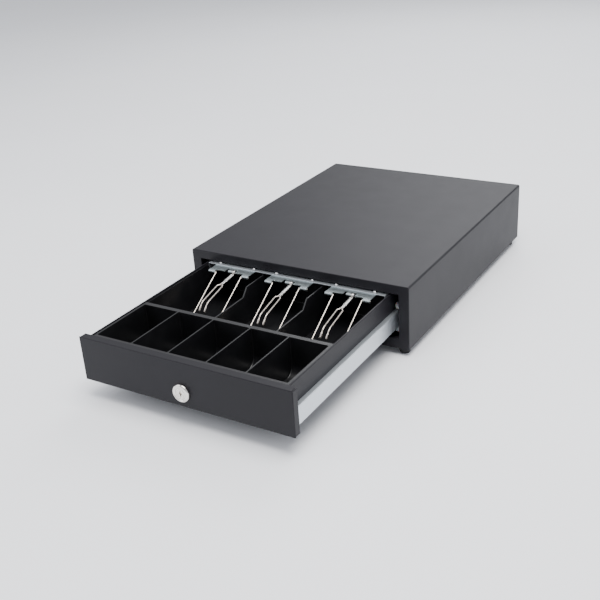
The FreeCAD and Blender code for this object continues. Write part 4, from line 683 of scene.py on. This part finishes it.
ARM_SLOPE = math.radians(6.2)
ARM_DROP = 2.0 * MM            # arm's middle line, below its hinge
SLEEVE_START = 3.0 * MM        # along the arm, from its hinge
SLEEVE_END = 24.5 * MM
CRIMP_END = 29.5 * MM
FORK_RUNS = (                  # along, down and sideways, from the crimp's end, in millimetres
    (-2.0, 0.0, 1.2), (1.8, 0.0, 1.3), (4.6, 0.0, 4.1), (41.0, 4.5, 4.1), (49.4, 12.7, 4.1),
)
TIP_SWELL = ((0.0, 0.0), (0.10, 0.25), (0.24, 0.9), (0.5, 1.0), (0.82, 1.0), (0.94, 0.65), (1.0, -0.2))
TIP_LENGTH = 8.5 * MM


class CASHDRAWER_OT_clips(bpy.types.Operator):
    """Build the three note clips and the bar that holds them"""
    bl_idname = "cash_drawer.clips"
    bl_label = "Note clips"

    def execute(self, context):
        rounded_copy(context, "clip_bar", zinc_plate(context), "zinc_plate", 0.25 * MM)
        self.rivets(context)
        paint(["clip_pins"], bright_steel(context))
        for number in (1, 2, 3):
            rounded_copy(context, f"clip_plate_{number}", grey_zinc(context), "zinc_plate", 0.2 * MM)
            self.bail(context, number)
            self.sleeve(context, number)
            self.fork(context, number)
        return {"FINISHED"}

    def rivets(self, context):
        """Domed rivet heads over the bar, and their swaged feet."""
        low, high, middle = span("clip_rivets")
        bm = bmesh.new()
        for number in (1, 2, 3):
            plate_middle = span(f"clip_plate_{number}")[2]
            for side in (-1, 1):
                seat = Vector((plate_middle.x + side * RIVET_SPREAD, middle.y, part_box("clip_bar")[1].z))
                head = high.z - seat.z
                dome = [(RIVET_HEAD * math.sin(t), head * math.cos(t)) for t in
                        (math.pi / 2 * k / 8 for k in range(9))]
                foot = low.z - seat.z
                outline = dome + [(1.5 * MM, 0), (1.5 * MM, foot + 0.8 * MM), (2.2 * MM, foot + 0.75 * MM),
                                  (2.1 * MM, foot + 0.1 * MM), (1.8 * MM, foot), (0, foot)]
                add_turned(bm, outline, seat, Z, 32)
        piece = to_object("clip_rivets_finished", close_mesh(bm), bright_steel(context), 40.0, False)
        settle(piece, "drawer", "bright_steel", "clip_rivets")

    def bail(self, context, number):
        """A U of spring wire whose ends are turned out into the knuckles."""
        name = f"bail_{number}"
        low, high, middle = span(name)
        wire = context.scene.cash_drawer_sizes.wire_radius
        hinge = Vector(JOINTS[f"bail_lift_{number}"]["pos_m"])
        far_y, far_z = low.y + wire, low.z + wire
        path = rounded_corners([
            Vector((low.x, hinge.y, hinge.z)), Vector((middle.x - BAIL_HALF, hinge.y, hinge.z)),
            Vector((middle.x - BAIL_HALF, far_y, far_z)), Vector((middle.x + BAIL_HALF, far_y, far_z)),
            Vector((middle.x + BAIL_HALF, hinge.y, hinge.z)), Vector((high.x, hinge.y, hinge.z)),
        ], (1.3 * MM, 5.5 * MM, 5.5 * MM, 1.3 * MM), 10)
        bm = bmesh.new()
        add_wire(bm, path, wire, 18)
        piece = to_object(name + "_finished", close_mesh(bm), nickel_wire(context), 60.0, False)
        settle(piece, name, "spring_wire", name)

    def arm_place(self, number):
        """The turn that brings a level arm, drawn from its hinge along -Y, to where it rests."""
        hinge = Vector(JOINTS[f"arm_lift_{number}"]["pos_m"])
        x = span(f"arm_sleeve_{number}")[2].x
        return Matrix.Translation((x, hinge.y, hinge.z)) @ Matrix.Rotation(ARM_SLOPE, 4, "X")

    def sleeve(self, context, number):
        """A twin tube drawn in at both ends, an eye on the pin, and a dimpled crimp."""
        name = f"arm_sleeve_{number}"
        bm = bmesh.new()
        sections = (
            (0.0, 1.7, 0.9), (0.02, 2.2, 1.15), (0.05, 2.6, 1.3), (0.10, 2.7, 1.35), (0.80, 2.7, 1.35),
            (0.87, 2.6, 1.3), (0.91, 2.15, 1.1), (0.96, 1.95, 1.0), (1.0, 1.95, 1.0),
        )
        self.twin_tube(bm, SLEEVE_START - 1.0 * MM, SLEEVE_END, sections, 0.62)
        crimp = (
            (0.0, 1.95, 1.0), (0.12, 2.1, 1.1), (0.30, 2.1, 1.1), (0.42, 1.85, 0.8), (0.58, 1.85, 0.8),
            (0.72, 2.1, 1.1), (0.90, 2.15, 1.1), (1.0, 1.9, 0.95),
        )
        self.twin_tube(bm, SLEEVE_END - 0.3 * MM, CRIMP_END, crimp, 0.35)
        ring = [(1.17, -2.0), (2.3, -2.0), (2.5, -1.8), (2.5, 1.8), (2.3, 2.0), (1.17, 2.0)]
        outline = [(radius * MM, along * MM) for radius, along in ring]
        add_turned(bm, close_loop(outline), Vector((0, 0, 0)), X, 40)
        bm.transform(self.arm_place(number))
        piece = to_object(name + "_finished", close_mesh(bm), arm_steel(context), 45.0, False)
        settle(piece, f"arm_{number}", "spring_wire", name)

    def twin_tube(self, bm, start, end, sections, valley):
        """A flattened tube with a valley along its top and its underside, like two tubes side by side."""
        sides = 40
        rings = []
        for share, wide, thick in sections:
            y = -(start + (end - start) * share)
            ring = []
            for k in range(sides):
                angle = 2 * math.pi * (k + 0.5) / sides
                c, s = math.cos(angle), math.sin(angle)
                px = wide * math.copysign(abs(c) ** 0.75, c)
                sink = valley * max(0.0, 1.0 - (px / (0.32 * wide)) ** 2)
                pz = math.copysign(thick * abs(s) ** 0.7 - sink, s)
                ring.append(bm.verts.new((px * MM, y, pz * MM - ARM_DROP)))
            rings.append(ring)
        for a, b in zip(rings, rings[1:]):
            for k in range(sides):
                j = (k + 1) % sides
                bm.faces.new([a[k], a[j], b[j], b[k]])
        bm.faces.new(list(reversed(rings[0])))
        bm.faces.new(rings[-1])

    def fork(self, context, number):
        """Two prongs of spring wire with swollen round tips."""
        name = f"fork_{number}"
        sizes = context.scene.cash_drawer_sizes
        wire, swell = sizes.wire_radius, sizes.tip_radius - sizes.wire_radius
        bm = bmesh.new()
        for side in (-1, 1):
            corners = [Vector((side * wide * MM, -CRIMP_END - run * MM, -ARM_DROP - drop * MM))
                       for run, drop, wide in FORK_RUNS]
            path = rounded_corners(corners, (1.2 * MM, 1.6 * MM, 5.0 * MM), 10)
            along = (path[-1] - path[-2]).normalized()
            tip_start = path[-1] - along * (TIP_LENGTH - sizes.tip_radius)
            points = path[:-1] + [tip_start + along * TIP_LENGTH * share for share, grown in TIP_SWELL]
            radii = [wire] * (len(path) - 1) + [wire + swell * grown for share, grown in TIP_SWELL]
            add_wire(bm, points, radii, 18)
        bm.transform(self.arm_place(number))
        piece = to_object(name + "_finished", close_mesh(bm), nickel_wire(context), 60.0, False)
        settle(piece, f"arm_{number}", "spring_wire", name)


# ---- the latch and its springs ----

WINDING_INSET = 1.8 * MM       # from the coil's flange to the tape
COIL_BORE = 4.95 * MM
FLANGE = 1.6 * MM
LAYER_DIP = 0.18 * MM
WINDING_RIDGES = 18
EJECTOR_RADIUS = 6.0 * MM
CONTACT_COUNT = 6
CONTACT_PITCH = 1.02 * MM


class CASHDRAWER_OT_latch(bpy.types.Operator):
    """Build the latch at the back: bracket, hook, solenoid and plunger"""
    bl_idname = "cash_drawer.latch"
    bl_label = "Latch"

    def execute(self, context):
        zinc = zinc_plate(context)
        for name in ("latch_bracket", "solenoid_frame", "latch_hook"):
            rounded_copy(context, name, zinc, "zinc_plate", 0.3 * MM)
        paint(["hook_pin", "plunger", "spring_posts"], bright_steel(context))
        self.coil(context)
        return {"FINISHED"}

    def coil(self, context):
        """A taped winding between two flanges, its layers showing as ridges."""
        low, high, middle = span("solenoid_coil")
        tall = high.z - low.z
        outer = (high.x - low.x) / 2
        body = outer - WINDING_INSET
        soft = 0.2 * MM
        outline = [
            (COIL_BORE, 0), (outer - soft, 0), (outer, soft), (outer, FLANGE - soft), (outer - soft, FLANGE),
        ]
        wound = tall - 2 * FLANGE
        for i in range(WINDING_RIDGES):
            start = FLANGE + wound * i / WINDING_RIDGES
            outline.append((body - LAYER_DIP, start))
            outline.append((body, start + wound * 0.5 / WINDING_RIDGES))
        outline += [
            (body - LAYER_DIP, tall - FLANGE), (outer - soft, tall - FLANGE), (outer, tall - FLANGE + soft),
            (outer, tall - soft), (outer - soft, tall), (0, tall), (0, tall - 4.0 * MM),
            (COIL_BORE, tall - 4.0 * MM),
        ]
        bm = bmesh.new()
        add_turned(bm, close_loop(outline), Vector((middle.x, middle.y, low.z)), Z, 48)
        settle(to_object("solenoid_coil_finished", close_mesh(bm), coil_tape(context), 50.0, False),
               "case", "coil_tape", "solenoid_coil")


class CASHDRAWER_OT_ejectors(bpy.types.Operator):
    """Build the two springs that push the drawer out"""
    bl_idname = "cash_drawer.ejectors"
    bl_label = "Ejector springs"

    def execute(self, context):
        sizes = context.scene.cash_drawer_sizes
        low, high, middle = span("ejector_springs")
        wire = sizes.ejector_wire
        bm = bmesh.new()
        for x in (low.x + EJECTOR_RADIUS + wire, high.x - EJECTOR_RADIUS - wire):
            origin = Vector((x, low.y + wire, middle.z))
            length = high.y - low.y - 2 * wire
            closed = 1.9 * wire
            working = length - 2 * closed
            path = helix(origin, Y, EJECTOR_RADIUS, closed, 1)
            path += helix(origin + Y * closed, Y, EJECTOR_RADIUS, working, sizes.ejector_turns)[1:]
            path += helix(origin + Y * (length - closed), Y, EJECTOR_RADIUS, closed, 1)[1:]
            add_wire(bm, path, wire, 10)
        piece = to_object("ejector_springs_finished", close_mesh(bm), nickel_wire(context), 60.0, False)
        settle(piece, "case", "spring_wire", "ejector_springs")
        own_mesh(piece)
        return {"FINISHED"}


class CASHDRAWER_OT_switch(bpy.types.Operator):
    """Build the switch that tells when the drawer is open"""
    bl_idname = "cash_drawer.switch"
    bl_label = "Drawer switch"

    def execute(self, context):
        rounded_copy(context, "micro_switch", switch_plastic(context), "switch_plastic", 0.2 * MM)
        paint(["switch_lever"], nickel_wire(context))
        return {"FINISHED"}


class CASHDRAWER_OT_socket(bpy.types.Operator):
    """Build the socket for the drawer's lead and its board"""
    bl_idname = "cash_drawer.socket"
    bl_label = "Socket"

    def execute(self, context):
        rounded_copy(context, "jack_socket", switch_plastic(context), "switch_plastic", 0.2 * MM)
        rounded_copy(context, "circuit_board", board_lacquer(context), "board", 0.15 * MM)
        self.contacts(context)
        return {"FINISHED"}

    def contacts(self, context):
        """Six sprung contact wires in the socket's mouth."""
        low, high, middle = span("jack_socket")
        bm = bmesh.new()
        for i in range(CONTACT_COUNT):
            x = middle.x + (i - (CONTACT_COUNT - 1) / 2) * CONTACT_PITCH
            path = rounded_corners([
                Vector((x, low.y + 4.2 * MM, low.z + 2.0 * MM)),
                Vector((x, high.y - 4.0 * MM, low.z + 1.9 * MM)),
                Vector((x, low.y + 7.0 * MM, low.z + 5.4 * MM))], (1.0 * MM,), 6)
            add_wire(bm, path, 0.2 * MM, 8)
        piece = to_object("socket_contacts", close_mesh(bm), coil_tape(context), 60.0, False)
        settle(piece, "case", "switch_plastic")


# ---- the stage ----

FLOOR_HALF = 15.0
FLOOR_DROP = 0.2 * MM
SENSOR_WIDTH = 36.0            # millimetres
LAMPS = (                      # name, place, what it points at, width, power, colour
    ("key", (0.5, -0.3, 2.1), (0.05, 0.0, 0.05), 1.6, 66.0, (1.0, 0.99, 0.97)),
    ("side", (2.0, 0.9, 0.9), (0.0, 0.1, 0.05), 1.4, 7.0, (0.95, 0.97, 1.0)),
    ("fill", (-1.6, -1.3, 1.3), (0.0, -0.1, 0.05), 1.8, 16.0, (0.94, 0.96, 1.0)),
    ("back", (-0.4, 2.2, 1.7), (0.0, 0.0, 0.05), 1.8, 34.0, (0.97, 0.98, 1.0)),
)
SKY_COLOUR = (0.93, 0.95, 1.0, 1.0)
SKY_STRENGTH = 0.8


class CASHDRAWER_OT_stage(bpy.types.Operator):
    """Build the floor, the lights and the camera"""
    bl_idname = "cash_drawer.stage"
    bl_label = "Stage"

    def execute(self, context):
        self.floor(context)
        for lamp in LAMPS:
            self.light(*lamp)
        world = bpy.data.worlds.new("soft room")
        world.use_nodes = True
        context.scene.world = world
        sky = world.node_tree.nodes["Background"]
        sky.inputs["Color"].default_value = SKY_COLOUR
        sky.inputs["Strength"].default_value = SKY_STRENGTH
        self.camera(context)
        return {"FINISHED"}

    def floor(self, context):
        """A plain floor just under the feet, wide enough to fill the view."""
        look = context.scene.cash_drawer_finish
        bm = bmesh.new()
        corners = [bm.verts.new((x * FLOOR_HALF, y * FLOOR_HALF, -FLOOR_DROP))
                   for x, y in ((-1, -1), (1, -1), (1, 1), (-1, 1))]
        bm.faces.new(corners)
        material = finish("pale_floor", tuple(look.floor), 0.6, vary=0.01, rough_vary=0.04, patch=3.0,
                          specular=0.25, bump=[(60.0, 0.05 * MM, (1, 1, 1))])
        to_object("floor", bm, material, 32.0, False)

    def light(self, name, place, target, size, power, colour):
        """A round soft light turned towards a point."""
        lamp = bpy.data.lights.new(name, "AREA")
        lamp.shape = "DISK"
        lamp.size = size
        lamp.energy = power
        lamp.color = colour
        made = bpy.data.objects.new(name, lamp)
        made.location = place
        made.rotation_euler = (Vector(target) - Vector(place)).to_track_quat("-Z", "Y").to_euler()
        bpy.context.scene.collection.objects.link(made)

    def camera(self, context):
        """A camera from its place, its turn, its slope and its roll."""
        view = context.scene.cash_drawer_view
        lens = bpy.data.cameras.new("camera")
        lens.sensor_width = SENSOR_WIDTH
        lens.lens = view.lens
        lens.clip_start = 0.01
        made = bpy.data.objects.new("camera", lens)
        level_right = Vector((math.cos(view.azimuth), math.sin(view.azimuth), 0))
        ahead = Vector((-math.sin(view.azimuth) * math.cos(view.elevation),
                        math.cos(view.azimuth) * math.cos(view.elevation), -math.sin(view.elevation)))
        level_up = level_right.cross(ahead)
        right = level_right * math.cos(view.roll) + level_up * math.sin(view.roll)
        up = level_up * math.cos(view.roll) - level_right * math.sin(view.roll)
        turn = Matrix((right, up, -ahead)).transposed().to_4x4()
        made.matrix_world = Matrix.Translation(Vector(view.place)) @ turn
        bpy.context.scene.collection.objects.link(made)
        bpy.context.scene.camera = made


# ---- the panel and registration ----

BUILDERS = (
    CASHDRAWER_OT_case,
    CASHDRAWER_OT_feet,
    CASHDRAWER_OT_slides,
    CASHDRAWER_OT_drawer,
    CASHDRAWER_OT_lock,
    CASHDRAWER_OT_till,
    CASHDRAWER_OT_clips,
    CASHDRAWER_OT_latch,
    CASHDRAWER_OT_ejectors,
    CASHDRAWER_OT_switch,
    CASHDRAWER_OT_socket,
    CASHDRAWER_OT_stage,
)
GROUPS = (
    ("cash_drawer_sizes", CashDrawerSizes),
    ("cash_drawer_finish", CashDrawerFinish),
    ("cash_drawer_view", CashDrawerView),
)


class CASHDRAWER_PT_panel(bpy.types.Panel):
    """Lists the sizes, the colours and the pieces."""
    bl_idname = "CASHDRAWER_PT_panel"
    bl_label = "Cash drawer"
    bl_space_type = "VIEW_3D"
    bl_region_type = "UI"
    bl_category = "Cash drawer"

    def draw(self, context):
        layout = self.layout
        for attribute, group in GROUPS:
            box = layout.box()
            for name in group.__annotations__:
                box.prop(getattr(context.scene, attribute), name)
        for operator in BUILDERS:
            layout.operator(operator.bl_idname)


def register():
    """Registers the settings, the operators and the panel."""
    for attribute, group in GROUPS:
        bpy.utils.register_class(group)
        setattr(bpy.types.Scene, attribute, PointerProperty(type=group))
    for cls in BUILDERS + (CASHDRAWER_PT_panel,):
        bpy.utils.register_class(cls)


def unregister():
    """Takes away what register added."""
    for cls in reversed(BUILDERS + (CASHDRAWER_PT_panel,)):
        bpy.utils.unregister_class(cls)
    for attribute, group in reversed(GROUPS):
        delattr(bpy.types.Scene, attribute)
        bpy.utils.unregister_class(group)


def main():
    """Builds every piece."""
    register()
    for operator in BUILDERS:
        group, name = operator.bl_idname.split(".")
        getattr(getattr(bpy.ops, group), name)()


if __name__ == "__main__":
    main()
